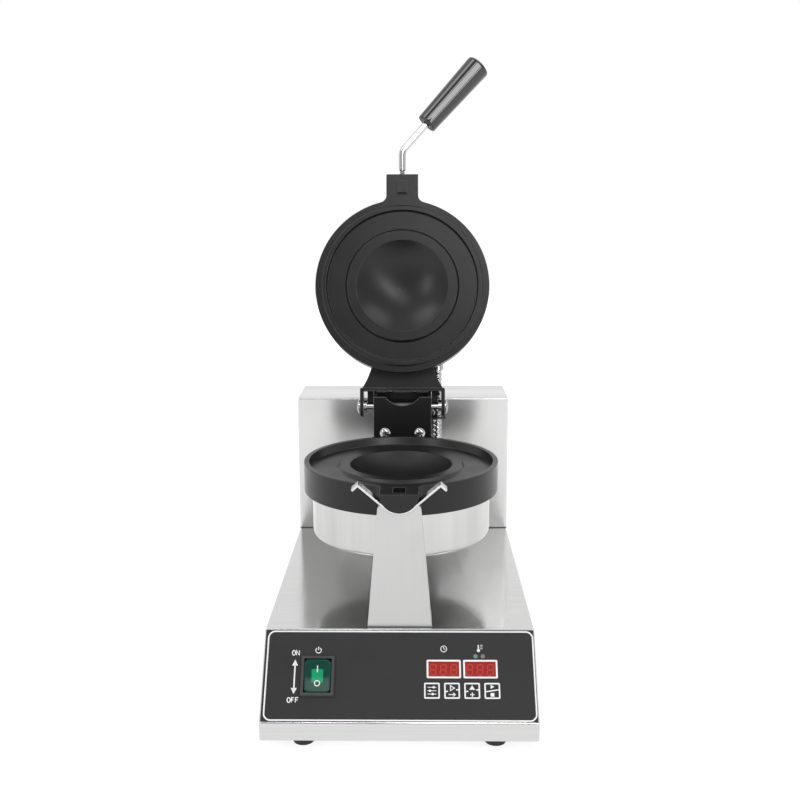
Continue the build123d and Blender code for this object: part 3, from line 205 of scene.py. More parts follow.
def evenRun(line, spacing):
    # The same line read off at even steps along its length, and those steps
    reach = np.concatenate([[0], np.cumsum(np.linalg.norm(np.diff(line, axis=0), axis=1))])
    even = np.linspace(0, reach[-1], int(reach[-1] / spacing) + 1)
    return np.stack([np.interp(even, reach, line[:, k]) for k in range(line.shape[1])], -1), even


def finishWith(piece, material):
    piece.data.materials.clear()
    piece.data.materials.append(material)


def dress(piece, material, body, replaced=None):
    # Gives a piece its material and the body it rides on, and hides the node that it stands for
    finishWith(piece, material)
    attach(piece, body)
    if replaced:
        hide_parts(replaced)
    return piece


# Shader groups
def socket(tree, name, kind, out=False):
    tree.interface.new_socket(name, in_out="OUTPUT" if out else "INPUT", socket_type="NodeSocket" + kind)


def node(tree, kind, **values):
    made = tree.nodes.new("ShaderNode" + kind)
    for key, value in values.items():
        setattr(made, key, value)
    return made


def withInputs(made, **values):
    for key, value in values.items():
        made.inputs[key.replace("_", " ")].default_value = value
    return made


def join(tree, source, target):
    tree.links.new(source, target)


def wire(tree, start, out, end, into):
    join(tree, start.outputs[out], end.inputs[into])


def grainAndBandsGroup():
    # Fine lines of brushed or ground metal: noise drawn out along one axis, in a fine and a coarse layer.
    # Drawn out coarse, as on the lower drum, their tone also paints broad upright bands, a painted reflection
    group = bpy.data.node_groups.new("grainAndReflectionBands", "ShaderNodeTree")
    socket(group, "Vector", "Vector")
    socket(group, "Fine", "Float")
    socket(group, "Coarse", "Float")
    socket(group, "Height", "Float", out=True)
    socket(group, "Shade", "Float", out=True)
    inputs, outputs = group.nodes.new("NodeGroupInput"), group.nodes.new("NodeGroupOutput")
    fine, coarse = (withInputs(node(group, "TexNoise"), Detail=detail) for detail in (2, 3))
    for noise, name in ((fine, "Fine"), (coarse, "Coarse")):
        wire(group, inputs, "Vector", noise, "Vector")
        join(group, inputs.outputs[name], noise.inputs["Scale"])
    blend = withInputs(node(group, "Mix", data_type="FLOAT"), Factor=0.35)
    wire(group, fine, "Fac", blend, "A")
    wire(group, coarse, "Fac", blend, "B")
    wire(group, blend, "Result", outputs, "Height")
    wire(group, coarse, "Fac", outputs, "Shade")
    return group


def patchGroup():
    # Slow cloudy change for handling marks and uneven coats, and small specks
    group = bpy.data.node_groups.new("surfacePatches", "ShaderNodeTree")
    socket(group, "Vector", "Vector")
    socket(group, "Cloud Scale", "Float")
    socket(group, "Speck Scale", "Float")
    socket(group, "Cloud", "Float", out=True)
    socket(group, "Specks", "Float", out=True)
    inputs, outputs = group.nodes.new("NodeGroupInput"), group.nodes.new("NodeGroupOutput")
    cloud, specks = (withInputs(node(group, "TexNoise"), Detail=detail) for detail in (4, 2))
    for noise, scale, out in ((cloud, "Cloud Scale", "Cloud"), (specks, "Speck Scale", "Specks")):
        wire(group, inputs, "Vector", noise, "Vector")
        join(group, inputs.outputs[scale], noise.inputs["Scale"])
        join(group, noise.outputs["Fac"], outputs.inputs[out])
    return group


def edgeGroup():
    # Near an edge the normal read over a small radius leans away from the true one; it also rounds the edge
    group = bpy.data.node_groups.new("edgeMaskAndRound", "ShaderNodeTree")
    socket(group, "Radius", "Float")
    socket(group, "Mask", "Float", out=True)
    socket(group, "Round Normal", "Vector", out=True)
    inputs, outputs = group.nodes.new("NodeGroupInput"), group.nodes.new("NodeGroupOutput")
    soft = node(group, "Bevel", samples=6)
    wire(group, inputs, "Radius", soft, "Radius")
    true = node(group, "NewGeometry")
    dot = node(group, "VectorMath", operation="DOT_PRODUCT")
    wire(group, soft, "Normal", dot, 0)
    wire(group, true, "Normal", dot, 1)
    spread = withInputs(node(group, "MapRange"), From_Min=0.99, From_Max=0.8)
    wire(group, dot, "Value", spread, "Value")
    wire(group, spread, "Result", outputs, "Mask")
    wire(group, soft, "Normal", outputs, "Round Normal")
    return group


grainAndReflectionBands, surfacePatches, edgeMaskAndRound = grainAndBandsGroup(), patchGroup(), edgeGroup()


# Materials
def useGroup(tree, group, **values):
    return withInputs(node(tree, "Group", node_tree=group), **values)


def startMaterial(name, color, rough, metallic=0.0, **sockets):
    material = bpy.data.materials.new(name)
    material.use_nodes = True
    material.diffuse_color = (*color, 1)
    tree = material.node_tree
    shader = withInputs(tree.nodes["Principled BSDF"], Base_Color=(*color, 1), Roughness=rough,
                        Metallic=metallic, **sockets)
    return material, tree, shader


def objectVector(tree, scale=(1, 1, 1)):
    where, mapping = node(tree, "TexCoord"), withInputs(node(tree, "Mapping"), Scale=scale)
    wire(tree, where, "Object", mapping, "Vector")
    return mapping.outputs["Vector"]


def patchesOn(tree, cloud=18.0, speck=900.0):
    made = useGroup(tree, surfacePatches, Cloud_Scale=cloud, Speck_Scale=speck)
    join(tree, objectVector(tree), made.inputs["Vector"])
    return made


def rangeNode(tree, source, low, high, fromLow=0.3, fromHigh=0.7):
    made = withInputs(node(tree, "MapRange"), From_Min=fromLow, From_Max=fromHigh, To_Min=low, To_Max=high)
    join(tree, source, made.inputs["Value"])
    return made.outputs["Result"]


def mixColor(tree, factor, first, second):
    made = withInputs(node(tree, "Mix", data_type="RGBA"), A=(*first, 1), B=(*second, 1))
    join(tree, factor, made.inputs["Factor"])
    return made.outputs["Result"]


def bumpFrom(tree, shader, source, strength, distance, normal=None):
    made = withInputs(node(tree, "Bump"), Strength=strength, Distance=distance)
    join(tree, source, made.inputs["Height"])
    if normal is not None:
        join(tree, normal, made.inputs["Normal"])
    wire(tree, made, "Normal", shader, "Normal")


def brushedMetal(name, color, rough, stretch, fine=1400.0, depth=0.00002, shade=0.06, edge=0.0004,
                 uneven=0.17, **sockets):
    # Metal with grain along the axis that stretch keeps small, cloudy roughness and rounded edges; an edge of
    # 0 is for turned pieces, whose mesh is smooth already. Where the grain is coarse, its paler and darker
    # tone is a painted reflection of broad upright light bands
    material, tree, shader = startMaterial(name, color, rough, 1.0, **sockets)
    grainAndBands = useGroup(tree, grainAndReflectionBands, Fine=fine, Coarse=fine * 0.2)
    join(tree, objectVector(tree, stretch), grainAndBands.inputs["Vector"])
    patches = patchesOn(tree)
    rounded = useGroup(tree, edgeMaskAndRound, Radius=edge).outputs["Round Normal"] if edge else None
    darker = tuple(c * (1 - shade) for c in color)
    paler = tuple(min(1, c * (1 + shade)) for c in color)
    join(tree, mixColor(tree, rangeNode(tree, grainAndBands.outputs["Shade"], 0, 1), darker, paler),
         shader.inputs["Base Color"])
    total = node(tree, "Math", operation="ADD")
    join(tree, rangeNode(tree, patches.outputs["Cloud"], rough * (1 - uneven), rough * (1 + uneven)),
         total.inputs[0])
    join(tree, rangeNode(tree, grainAndBands.outputs["Height"], -0.12 * uneven, 0.12 * uneven), total.inputs[1])
    wire(tree, total, "Value", shader, "Roughness")
    bumpFrom(tree, shader, grainAndBands.outputs["Height"], 0.35, depth, rounded)
    return material


def coatedCast(name, color, rough, peel=0.00006, scale=700.0, edgeWearAndHighlight=(0.22, 0.22, 0.22), edge=0.0009,
               **sockets):
    # Dark coat on a casting: small orange peel, cloudy gloss, and paler edges that are partly the coat worn
    # off and partly a painted highlight for the light that rounded edges catch
    material, tree, shader = startMaterial(name, color, rough, 0.0, **sockets)
    patches = patchesOn(tree, 26.0, scale)
    edges = useGroup(tree, edgeMaskAndRound, Radius=edge)
    wornAndLitEdgeMask = node(tree, "Math", operation="MULTIPLY")
    wire(tree, edges, "Mask", wornAndLitEdgeMask, 0)
    join(tree, rangeNode(tree, patches.outputs["Cloud"], 0.25, 0.8), wornAndLitEdgeMask.inputs[1])
    # Painted highlight and wear: near edges, broken up by the cloud, the coat's colour turns to the paler
    # edge colour
    join(tree, mixColor(tree, wornAndLitEdgeMask.outputs["Value"], color, edgeWearAndHighlight), shader.inputs["Base Color"])
    join(tree, rangeNode(tree, patches.outputs["Cloud"], rough * 0.88, rough * 1.15),
         shader.inputs["Roughness"])
    bumpFrom(tree, shader, patches.outputs["Specks"], 0.4, peel, edges.outputs["Round Normal"])
    return material


def mouldedPlastic(name, color, rough, peel=0.00002, scale=1600.0, cloud=40.0, edge=0.0005, **sockets):
    # Moulded plastic, film or rubber: fine texture, cloudy gloss, slightly paler edges
    material, tree, shader = startMaterial(name, color, rough, 0.0, **sockets)
    patches = patchesOn(tree, cloud, scale)
    edges = useGroup(tree, edgeMaskAndRound, Radius=edge) if edge else None
    paler = tuple(min(1, c * 1.5 + 0.015) for c in color)
    mask = edges.outputs["Mask"] if edges else rangeNode(tree, patches.outputs["Cloud"], 0, 0.2)
    join(tree, mixColor(tree, mask, color, paler), shader.inputs["Base Color"])
    join(tree, rangeNode(tree, patches.outputs["Cloud"], rough * 0.9, rough * 1.12),
         shader.inputs["Roughness"])
    bumpFrom(tree, shader, patches.outputs["Specks"], 0.3, peel, edges and edges.outputs["Round Normal"])
    return material


def litFace(name, color, strength, base, rough=0.25):
    # A lit or back-lit face: its glow is a little uneven
    material, tree, shader = startMaterial(name, base, rough, 0.0, Emission_Strength=strength,
                                           Specular_IOR_Level=0.15)
    patches = patchesOn(tree, 260.0, 2500.0)
    dim = tuple(c * 0.75 for c in color)
    join(tree, mixColor(tree, patches.outputs["Cloud"], dim, color), shader.inputs["Emission Color"])
    paler = tuple(min(1, c * 1.2) for c in base)
    join(tree, mixColor(tree, patches.outputs["Cloud"], base, paler), shader.inputs["Base Color"])
    return material


steel, bright, black = (0.6, 0.6, 0.597), (0.66, 0.66, 0.66), (0.0105, 0.0105, 0.011)
caseSteel = brushedMetal("caseSteel", (0.65, 0.65, 0.647), 0.15, (0.012, 1, 1), fine=2200.0, depth=0.000006,
                         shade=0.03)
housingSteel = brushedMetal("housingSteel", (0.7, 0.7, 0.697), 0.24, (1, 1, 0.02), fine=2200.0,
                            depth=0.000001, shade=0.006, uneven=0.04, Anisotropic=0.75,
                            Anisotropic_Rotation=0.25)
postSteel = brushedMetal("postSteel", (0.57, 0.57, 0.567), 0.32, (1, 1, 0.02), fine=2200.0, depth=0.000004,
                         shade=0.012)
drumSteel = brushedMetal("drumSteel", (0.58, 0.578, 0.572), 0.24, (1, 1, 0.6), fine=700.0, depth=0.000004,
                         shade=0.03, edge=0, Anisotropic=0.6, Anisotropic_Rotation=0.25)
# On the lower drum the grain is drawn out into soft upright bands a couple of centimetres apart: partly
# brushing, partly a painted reflection of the upright light bands that a polished drum shows
lowerDrumSteel = brushedMetal("lowerDrumSteel", (0.58, 0.578, 0.572), 0.22, (1, 1, 0.03), fine=240.0,
                              depth=0.00001, shade=0.07, edge=0, Anisotropic=0.6, Anisotropic_Rotation=0.25)
stripSteel = brushedMetal("stripSteel", bright, 0.18, (1, 0.03, 1))
chrome = brushedMetal("chrome", (0.5, 0.5, 0.505), 0.07, (1, 1, 1), fine=500.0, depth=0.000001, shade=0.01,
                      edge=0)
shaftSteel = brushedMetal("shaftSteel", steel, 0.22, (1, 0.02, 1))
darkSteel = brushedMetal("darkSteel", (0.16, 0.16, 0.16), 0.35, (1, 1, 1))
heaterSteel = brushedMetal("heaterSteel", (0.3, 0.29, 0.28), 0.4, (1, 1, 1), fine=900.0)
castBlack = coatedCast("castBlack", black, 0.32, peel=0.00002, scale=900.0, Specular_IOR_Level=0.36)
# Painted highlight: the brackets' edges are painted pale grey for the light that the sheet's edges catch
bracketBlack = coatedCast("bracketBlack", (0.009, 0.009, 0.01), 0.34, peel=0.000005, scale=1200.0,
                          edge=0.0011, edgeWearAndHighlight=(0.6, 0.6, 0.6), Specular_IOR_Level=0.3)
gripBlack = mouldedPlastic("gripBlack", (0.009, 0.009, 0.01), 0.1, peel=0.000001, scale=600.0, edge=0,
                           Specular_IOR_Level=0.0, Coat_Weight=1.0, Coat_Roughness=0.03, Coat_IOR=1.66)
gripEnd = mouldedPlastic("gripEnd", (0.05, 0.05, 0.052), 0.55, Specular_IOR_Level=0.25)
filmBlack = mouldedPlastic("filmBlack", (0.028, 0.028, 0.029), 0.5, peel=0.00001, scale=2600.0, edge=0,
                           Specular_IOR_Level=0.2)
keyBlack = mouldedPlastic("keyBlack", (0.024, 0.024, 0.026), 0.45, peel=0.00001, scale=2600.0, edge=0,
                          Specular_IOR_Level=0.2)
caseBlack = mouldedPlastic("caseBlack", (0.03, 0.03, 0.031), 0.4)
footRubber = mouldedPlastic("footRubber", (0.02, 0.02, 0.02), 0.6, peel=0.00005, scale=900.0)
# Painted shade: the colour of the strips that stand in for the shadow in the deck joints
paintedSeamShade = mouldedPlastic("paintedSeamShade", (0.12, 0.12, 0.12), 0.6)
boardGreen = mouldedPlastic("boardGreen", (0.02, 0.16, 0.06), 0.4)
moduleWhite = mouldedPlastic("moduleWhite", (0.7, 0.69, 0.64), 0.5)
woolWhite = mouldedPlastic("woolWhite", (0.7, 0.68, 0.62), 0.9, peel=0.0004, scale=500.0)
brassMetal = brushedMetal("brassMetal", (0.75, 0.58, 0.26), 0.25, (1, 1, 1))
ironCore = coatedCast("ironCore", (0.09, 0.09, 0.1), 0.55)
# White print with a faint painted glow of its own, which keeps it bright whatever light falls on it
printWhiteWithGlow = mouldedPlastic("printWhiteWithGlow", (0.85, 0.85, 0.85), 0.5, peel=0.000002, Emission_Strength=0.12,
                            Emission_Color=(1, 1, 1, 1))
windowRed = litFace("windowRed", (0.62, 0.03, 0.016), 0.14, (0.22, 0.01, 0.008), rough=0.3)
digitRed = litFace("digitRed", (1.0, 0.06, 0.03), 0.26, (0.3, 0.022, 0.016), rough=0.3)
rockerGreen = mouldedPlastic("rockerGreen", (0.003, 0.055, 0.038), 0.18, peel=0.000003, cloud=120.0, edge=0,
                             Specular_IOR_Level=0.2)
lampWindow = litFace("lampWindow", (0.01, 0.4, 0.16), 0.35, (0.006, 0.2, 0.09), rough=0.2)


def lampPair():
    # Two unlit lamps in one node: the left one greenish, the right one reddish, told apart by X
    material, tree, shader = startMaterial("lampPair", (0.13, 0.24, 0.2), 0.25, 0.0, Coat_Weight=0.6)
    where, parts = node(tree, "TexCoord"), node(tree, "SeparateXYZ")
    wire(tree, where, "Object", parts, "Vector")
    side = rangeNode(tree, parts.outputs["X"], 0, 1, 0.0726, 0.0732)
    join(tree, mixColor(tree, side, (0.10, 0.25, 0.19), (0.22, 0.15, 0.16)), shader.inputs["Base Color"])
    patches = patchesOn(tree, 400.0, 2500.0)
    join(tree, rangeNode(tree, patches.outputs["Cloud"], 0.2, 0.35), shader.inputs["Roughness"])
    bumpFrom(tree, shader, patches.outputs["Specks"], 0.3, 0.00002)
    return material


print("materials: made")

nodeFinishes = (
    (caseSteel, "base_shell", "bottom_plate", "back_cover"),
    (housingSteel, "rear_housing"),
    (footRubber, "rubber_feet"),
    (chrome, "foot_screws", "cover_screws", "post_screws", "bearing_bolts", "lower_drum_screws",
     "bracket_screws", "lower_hose_fitting", "armoured_hose", "upper_drum_screws", "lid_bracket_screws",
     "hinge_rod", "hinge_washers", "upper_hose_fitting", "handle_rod"),
    (caseBlack, "cable_gland", "gland_nut", "switch_frame", "display_modules", "tact_switches",
     "hose_clip"),
    (postSteel, "front_post"),
    (stripSteel, "cradle"),
    (filmBlack, "control_overlay"),
    (windowRed, "display_windows"),
    (lampPair(), "indicator_lamps"),
    (rockerGreen, "power_rocker"),
    (boardGreen, "control_board"),
    (brassMetal, "board_spacers"),
    (moduleWhite, "terminal_block"),
    (shaftSteel, "relay_module", "lower_probe", "rotary_shaft", "shaft_collar", "upper_probe"),
    (ironCore, "transformer", "bearing_housing"),
    (heaterSteel, "lower_heater", "upper_heater"),
    (woolWhite, "lower_insulation", "upper_insulation"),
    (lowerDrumSteel, "lower_drum"),
    (bracketBlack, "lower_bracket", "lid_bracket"),
    (darkSteel, "hinge_sleeve"),
    (castBlack, "lower_plate", "upper_plate"),
    (drumSteel, "upper_drum"),
    (gripBlack, "handle_grip"),
    (keyBlack, "set_key", "shift_key", "add_key", "start_key"),
)
for finish, *names in nodeFinishes:
    for name in names:
        finishWith(frame["nodes"][name], finish)
print("nodes: dressed", sum(len(row) - 1 for row in nodeFinishes))

# Drums under the plates: a pressed cup with a rounded corner and a thin wall
drums = {"radius": 91.0, "depth": 75.4, "seat": 22.0, "corner": 4.0, "wall": 1.0}


def drumProfile():
    radius, low, high, wall = drums["radius"], -drums["depth"], -drums["seat"], drums["wall"]
    inner = radius - wall
    outline = [(0, low, 0), (radius, low, drums["corner"]), (radius, high, 0.3), (inner, high, 0.3),
               (inner, low + wall, drums["corner"] - wall), (0, low + wall, 0)]
    return evenRun(roundCorners(outline), 2.0)[0]


for name, body, place, finish in (("lower_drum", "lower_head", lowerPlace, lowerDrumSteel),
                                  ("upper_drum", "lid", lidPlace, drumSteel)):
    dress(gridPiece(name + "_cup", [turnedGrid(drumProfile(), 200)], place), finish, body, name)
print("drums: made")

# Round-headed screws with a cross recess, each as a polar grid whose top sinks where the cross lies
screws = {
    "sideShare": 0.3, "recessWidth": 0.17, "recessLength": 0.62, "recessDepth": 0.42, "wallWidth": 0.06,
    "endWidth": 0.1, "steps": 96,
    # head radius, head height, shank radius, shank length
    "bracket": (6.0, 3.4, 2.0, 7.0), "foot": (3.8, 1.6, 2.0, 7.0), "cover": (3.8, 1.6, 2.0, 6.0),
    "drum": (4.5, 2.2, 2.0, 7.0),
}


def screwGrid(place, direction, kind, turn=0.4):
    # Top height is the cap's, less the recess depth inside the cross; its walls slope over a short way
    head, height, shank, length = screws[kind]
    reach = np.concatenate([np.linspace(0, 0.96, 26), [1.0]])[:, None] * head
    angle = fullTurn(screws["steps"])[None]
    side = height * screws["sideShare"]
    sphere = (head ** 2 + (height - side) ** 2) / (2 * (height - side))
    top = height - sphere + np.sqrt(sphere ** 2 - reach ** 2) + 0 * angle
    x, y = reach * np.cos(angle), reach * np.sin(angle)
    near = np.minimum(np.abs(x), np.abs(y)) / head
    far = np.maximum(np.abs(x), np.abs(y)) / head
    inside = (np.clip((screws["recessWidth"] - near) / screws["wallWidth"], 0, 1)
              * np.clip((screws["recessLength"] - far) / screws["endWidth"], 0, 1))
    top = top - inside * screws["recessDepth"] * height
    cap = np.stack([x, y, top], -1)
    under = np.array([(head, side), (head, 0), (shank, 0), (shank, -length), (0, -length)])
    points = np.concatenate([cap, turnedGrid(under, screws["steps"])[0]])
    axis = np.array(direction, float) / np.linalg.norm(direction)
    helper = np.array([1.0, 0, 0]) if abs(axis[0]) < 0.9 else np.array([0, 1.0, 0])
    first = np.cross(axis, helper)
    first /= np.linalg.norm(first)
    second = np.cross(axis, first)
    spin = np.array([[math.cos(turn), -math.sin(turn)], [math.sin(turn), math.cos(turn)]])
    flat = points[..., :2] @ spin.T
    return (np.array(place, float) + flat[..., :1] * first + flat[..., 1:] * second
            + points[..., 2:] * axis), False, True


plain = np.eye(4)
bracketSpots = {"boltX": 20, "boltTurns": (0.5, 0.15), "footX": 14, "footBehind": 111.8, "footDrop": 32.8}
bracketFace = frontY / mm + heads["plateY"] + heads["hingeBack"] - heads["bracketFront"]
boltHeight = turnHeight / mm - heads["boltDrop"]
footPlace = (frontY / mm + heads["plateY"] + bracketSpots["footBehind"],
             turnHeight / mm - bracketSpots["footDrop"])
bracketSet = [screwGrid((side * bracketSpots["boltX"], bracketFace, boltHeight), (0, -1, 0), "bracket", turn)
              for side, turn in zip((-1, 1), bracketSpots["boltTurns"])]
bracketSet += [screwGrid((side * bracketSpots["footX"], *footPlace), (0, 0, -1), "foot") for side in (-1, 1)]
dress(gridPiece("bracket_crossheads", bracketSet, plain, 30), chrome, "lower_head", "bracket_screws")

coverSpots = {"x": 118.5, "back": 424.3, "heights": (18.5, 56.35, 150.55, 248.1), "low": 10.8,
              "shares": (0.28, 0.72)}
coverSet = [screwGrid((side * coverSpots["x"], frontY / mm + coverSpots["back"], z), (0, 1, 0), "cover",
                      0.3 + z * 0.05 + side)
            for side in (-1, 1) for z in coverSpots["heights"]]
coverSet += [screwGrid((side * coverSpots["x"], frontY / mm + coverSpots["back"] * share, coverSpots["low"]),
                       (0, 0, -1), "cover", share)
             for side in (-1, 1) for share in coverSpots["shares"]]
dress(gridPiece("cover_crossheads", coverSet, plain, 30), chrome, "base", "cover_screws")

drumSpots = {"circle": 62, "angles": (60, 180, 300)}
for name, body, place in (("lower_drum_screws", "lower_head", lowerPlace),
                          ("upper_drum_screws", "lid", lidPlace)):
    drumSet = []
    for angle in np.radians(drumSpots["angles"]):
        x, y = -drumSpots["circle"] * math.sin(angle), drumSpots["circle"] * math.cos(angle)
        drumSet.append(screwGrid((x, y, -drums["depth"]), (0, 0, -1), "drum", 0.2 + x * 0.03))
    dress(gridPiece(name + "_crossheads", drumSet, place, 30), chrome, body, name)
print("screws: made")

# Handle: a bent rod with a threaded start, and a tapered grip
handle = {
    "depth": 9.0, "rodRadius": 4.0, "threadRadius": 3.0, "threadPitch": 1.0, "threadCut": 0.45,
    "threadOut": 6.0, "hold": 14.0, "bendAt": 158.0, "bendRadius": 14.0, "angle": 41.5,
    "gripStart": 42.0, "gripLength": 94.8, "rodInGrip": 60.0, "nearRadius": 12.0, "farRadius": 14.5,
    "domeHeight": 4.2, "rimRound": 4.5, "nearRound": 1.2,
}


def handleRod():
    tip = heads["plateRadius"] + heads["lugReach"]
    across, along = sinCos(handle["angle"])
    reach = handle["gripStart"] + handle["rodInGrip"]
    corners = [(0, tip - handle["hold"], 0), (0, handle["bendAt"], handle["bendRadius"]),
               (across * reach, handle["bendAt"] + along * reach, 0)]
    line, run = evenRun(roundCorners(corners, 40), 0.22)
    path = np.c_[line, np.full(len(line), -handle["depth"])]
    threaded = handle["hold"] + handle["threadOut"]
    angle = fullTurn(40)[None]
    wave = np.abs(((run[:, None] / handle["threadPitch"] - angle / (2 * math.pi)) % 1) - 0.5) * 2
    thread = handle["threadRadius"] - handle["threadCut"] * wave
    shoulder = np.clip((run[:, None] - threaded) / 0.7, 0, 1)
    radius = thread * (1 - shoulder) + handle["rodRadius"] * shoulder
    return gridPiece("bent_rod", [tubeGrid(path, radius, (0, 0, 1), 40)], lidPlace, 50)


def handleGrip():
    full = handle["gripLength"] - handle["domeHeight"]
    near, far = handle["nearRadius"], handle["farRadius"]
    cap = capProfile(far, full, handle["gripLength"])
    outline = [(0, 1.2, 0), (handle["rodRadius"], 1.2, 0), (handle["rodRadius"] + 1.0, 0, 0.5),
               (near, 0, handle["nearRound"]), (far, full, handle["rimRound"])]
    outline += [(*point, 0) for point in cap[2:]]
    profile = evenRun(roundCorners(outline, 10), 1.0)[0]
    across, along = sinCos(handle["angle"])
    start = (across * handle["gripStart"] * mm, (handle["bendAt"] + along * handle["gripStart"]) * mm,
             -handle["depth"] * mm)
    local = placeMatrix(start, (along, -across, 0), (0, 0, -1), (across, along, 0))
    return gridPiece("tapered_grip", [turnedGrid(profile, 180)], lidPlace @ local, 35)


dress(handleRod(), chrome, "lid", "handle_rod")
gripPiece = dress(handleGrip(), gripBlack, "lid", "handle_grip")
# The flat end round the rod is dull, so the faces that look back along the grip have their own material
gripPiece.data.materials.append(gripEnd)
gripWay = lidPlace[:3, :3] @ np.array([*sinCos(handle["angle"]), 0])
gripNormals = np.empty(len(gripPiece.data.polygons) * 3)
gripPiece.data.polygons.foreach_get("normal", gripNormals)
looksBack = gripNormals.reshape(-1, 3) @ gripWay < -0.9
gripPiece.data.polygons.foreach_set("material_index", looksBack.astype(int))
print("handle: made")

# Armoured hose: a spiral rib wound along a smooth line in one upright plane
hose = {
    "x": 0.0405, "radius": 5.6, "groove": 1.15, "pitch": 5.6, "endRun": 6.0,
    "route": ((0.05604, 0.178), (0.07604, 0.178), (0.11665, 0.2), (0.11765, 0.2334), (0.11815, 0.258),
              (0.11966, 0.26864), (0.12464, 0.28801)),
}


def hoseLine():
    # The route's points steer a smooth spline, which Blender reads off as plain points
    curve = bpy.data.curves.new("hoseRoute", "CURVE")
    curve.dimensions, curve.resolution_u = "3D", 24
    spline = curve.splines.new("NURBS")
    spline.points.add(len(hose["route"]) - 1)
    for point, (y, z) in zip(spline.points, hose["route"]):
        point.co = (hose["x"], y, z, 1)
    spline.order_u, spline.use_endpoint_u = 3, True
    holder = linked("hoseRoute", curve)
    read = bpy.data.meshes.new_from_object(holder)
    points = np.empty(len(read.vertices) * 3)
    read.vertices.foreach_get("co", points)
    bpy.data.objects.remove(holder)
    bpy.data.curves.remove(curve)
    bpy.data.meshes.remove(read)
    return points.reshape(-1, 3) / mm


def spiralHose():
    # Radius is full on the rib and falls by the groove's depth between turns; the rib climbs a pitch a turn
    path, run = evenRun(hoseLine(), 0.35)
    angle = fullTurn(48)[None]
    wave = 0.5 + 0.5 * np.cos(2 * math.pi * run[:, None] / hose["pitch"] - angle)
    ends = np.clip(np.minimum(run, run[-1] - run)[:, None] / hose["endRun"], 0, 1)
    radius = hose["radius"] - hose["groove"] * (1 - wave ** 0.55) * ends
    return gridPiece("spiral_hose", [tubeGrid(path, radius, (1, 0, 0), 48)], plain, 60)


hosePiece = spiralHose()
hosePiece.data.materials.append(chrome)
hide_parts("armoured_hose")
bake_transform(hosePiece)
print("hose: made")


# Print on the panel: thin raised shapes in the panel's plane, in mm
def ribbonGrid(line, width, low, high, closed=False, lift=None):
    # A flat strip carried along a line, with mitred corners; lift gives the height of what lies below
    line = np.asarray(line, float)
    if closed:
        before, after = line - np.roll(line, 1, 0), np.roll(line, -1, 0) - line
    else:
        step = np.diff(line, axis=0)
        before, after = np.vstack([step[:1], step]), np.vstack([step, step[-1:]])
    before /= np.linalg.norm(before, axis=1)[:, None]
    after /= np.linalg.norm(after, axis=1)[:, None]
    lean = before + after
    lean /= np.linalg.norm(lean, axis=1)[:, None]
    side = np.stack([-lean[:, 1], lean[:, 0]], -1)
    reach = width / 2 / np.clip((lean * before).sum(1), 0.4, 1)
    left, right = line + side * reach[:, None], line - side * reach[:, None]
    corners = [(left, low), (left, high), (right, high), (right, low)]
    grid = np.stack([np.c_[edge, np.full(len(line), level)] for edge, level in corners], 1)
    if lift is not None:
        grid[..., 2] += lift(grid[..., 1])
    if not closed:
        first, last = grid[:1].mean(1, keepdims=True), grid[-1:].mean(1, keepdims=True)
        grid = np.concatenate([np.broadcast_to(first, (1, 4, 3)), grid, np.broadcast_to(last, (1, 4, 3))])
    return grid, closed, True


def fillGrid(outline, low, high, lift=None):
    # A filled outline: its top and bottom are fans from the middle
    outline = np.asarray(outline, float)
    middle = np.broadcast_to(outline.mean(0), outline.shape)
    rows = [(middle, high), (outline, high), (outline, low), (middle, low)]
    grid = np.stack([np.c_[row, np.full(len(outline), level)] for row, level in rows])
    if lift is not None:
        grid[..., 2] += lift(grid[..., 1])
    return grid, False, True


def roundedRectangle(x, s, width, length, radius, steps=6):
    turns = np.linspace(0, math.pi / 2, steps + 1)
    points = []
    for quarter, (cx, cs) in enumerate(((1, 1), (-1, 1), (-1, -1), (1, -1))):
        angle = turns + quarter * math.pi / 2
        points.append(np.stack([x + cx * (width / 2 - radius) + radius * np.cos(angle),
                                s + cs * (length / 2 - radius) + radius * np.sin(angle)], -1))
    return np.concatenate(points)


def arcLine(x, s, radius, start=0, end=360, steps=36):
    angle = np.radians(np.linspace(start, end, steps, endpoint=abs(end - start) < 360))
    return np.stack([x + radius * np.cos(angle), s + radius * np.sin(angle)], -1)


letters = {
    "N": [[(0, 0), (0, 1), (0.6, 0), (0.6, 1)]],
    "F": [[(0, 0), (0, 1), (0.56, 1)], [(0, 0.52), (0.44, 0.52)]],
}
# x is across the panel and s up its slope, both from the fold under its middle
panel = {
    "top": slope["film"], "lift": 0.06, "sink": 0.1, "digitLift": 0.03,
    "border": (0.75, 42.6, 243.5, 79.8, 6.0, 1.35),     # x, s, width, length, corner, line width
    "words": (("ON", -95.0, 62.6), ("OFF", -95.6, 20.2)), "letterHeight": 4.3, "letterLine": 0.85,
    "switch": (-74.2, 41.6), "arrowX": -95.2, "arrowEnds": (25.5, 56.4), "arrowHead": 5.4, "arrowLine": 1.3,
    "mainsSign": (-74.3, 65.0), "clock": (40.6, 66.6), "thermometer": (72.4, 65.2),
    "displays": (40.4, 73.7), "displayS": 48.3, "displaySize": (31.2, 16.7), "frameWidth": 1.6,
    "digitStep": 9.4, "digitShift": (-0.4, -0.7),
    "keys": {"set_key": 29.5, "shift_key": 47.6, "add_key": 65.7, "start_key": 83.8}, "keyS": 28.9,
    "keySize": 14.2, "keyLine": 1.35,
}
printLow, printHigh = panel["top"] - panel["sink"], panel["top"] + panel["lift"]


def inkLine(line, width, closed=False):
    return ribbonGrid(line, width, printLow, printHigh, closed)


def inkArea(outline, high=printHigh):
    return fillGrid(outline, printLow, high)


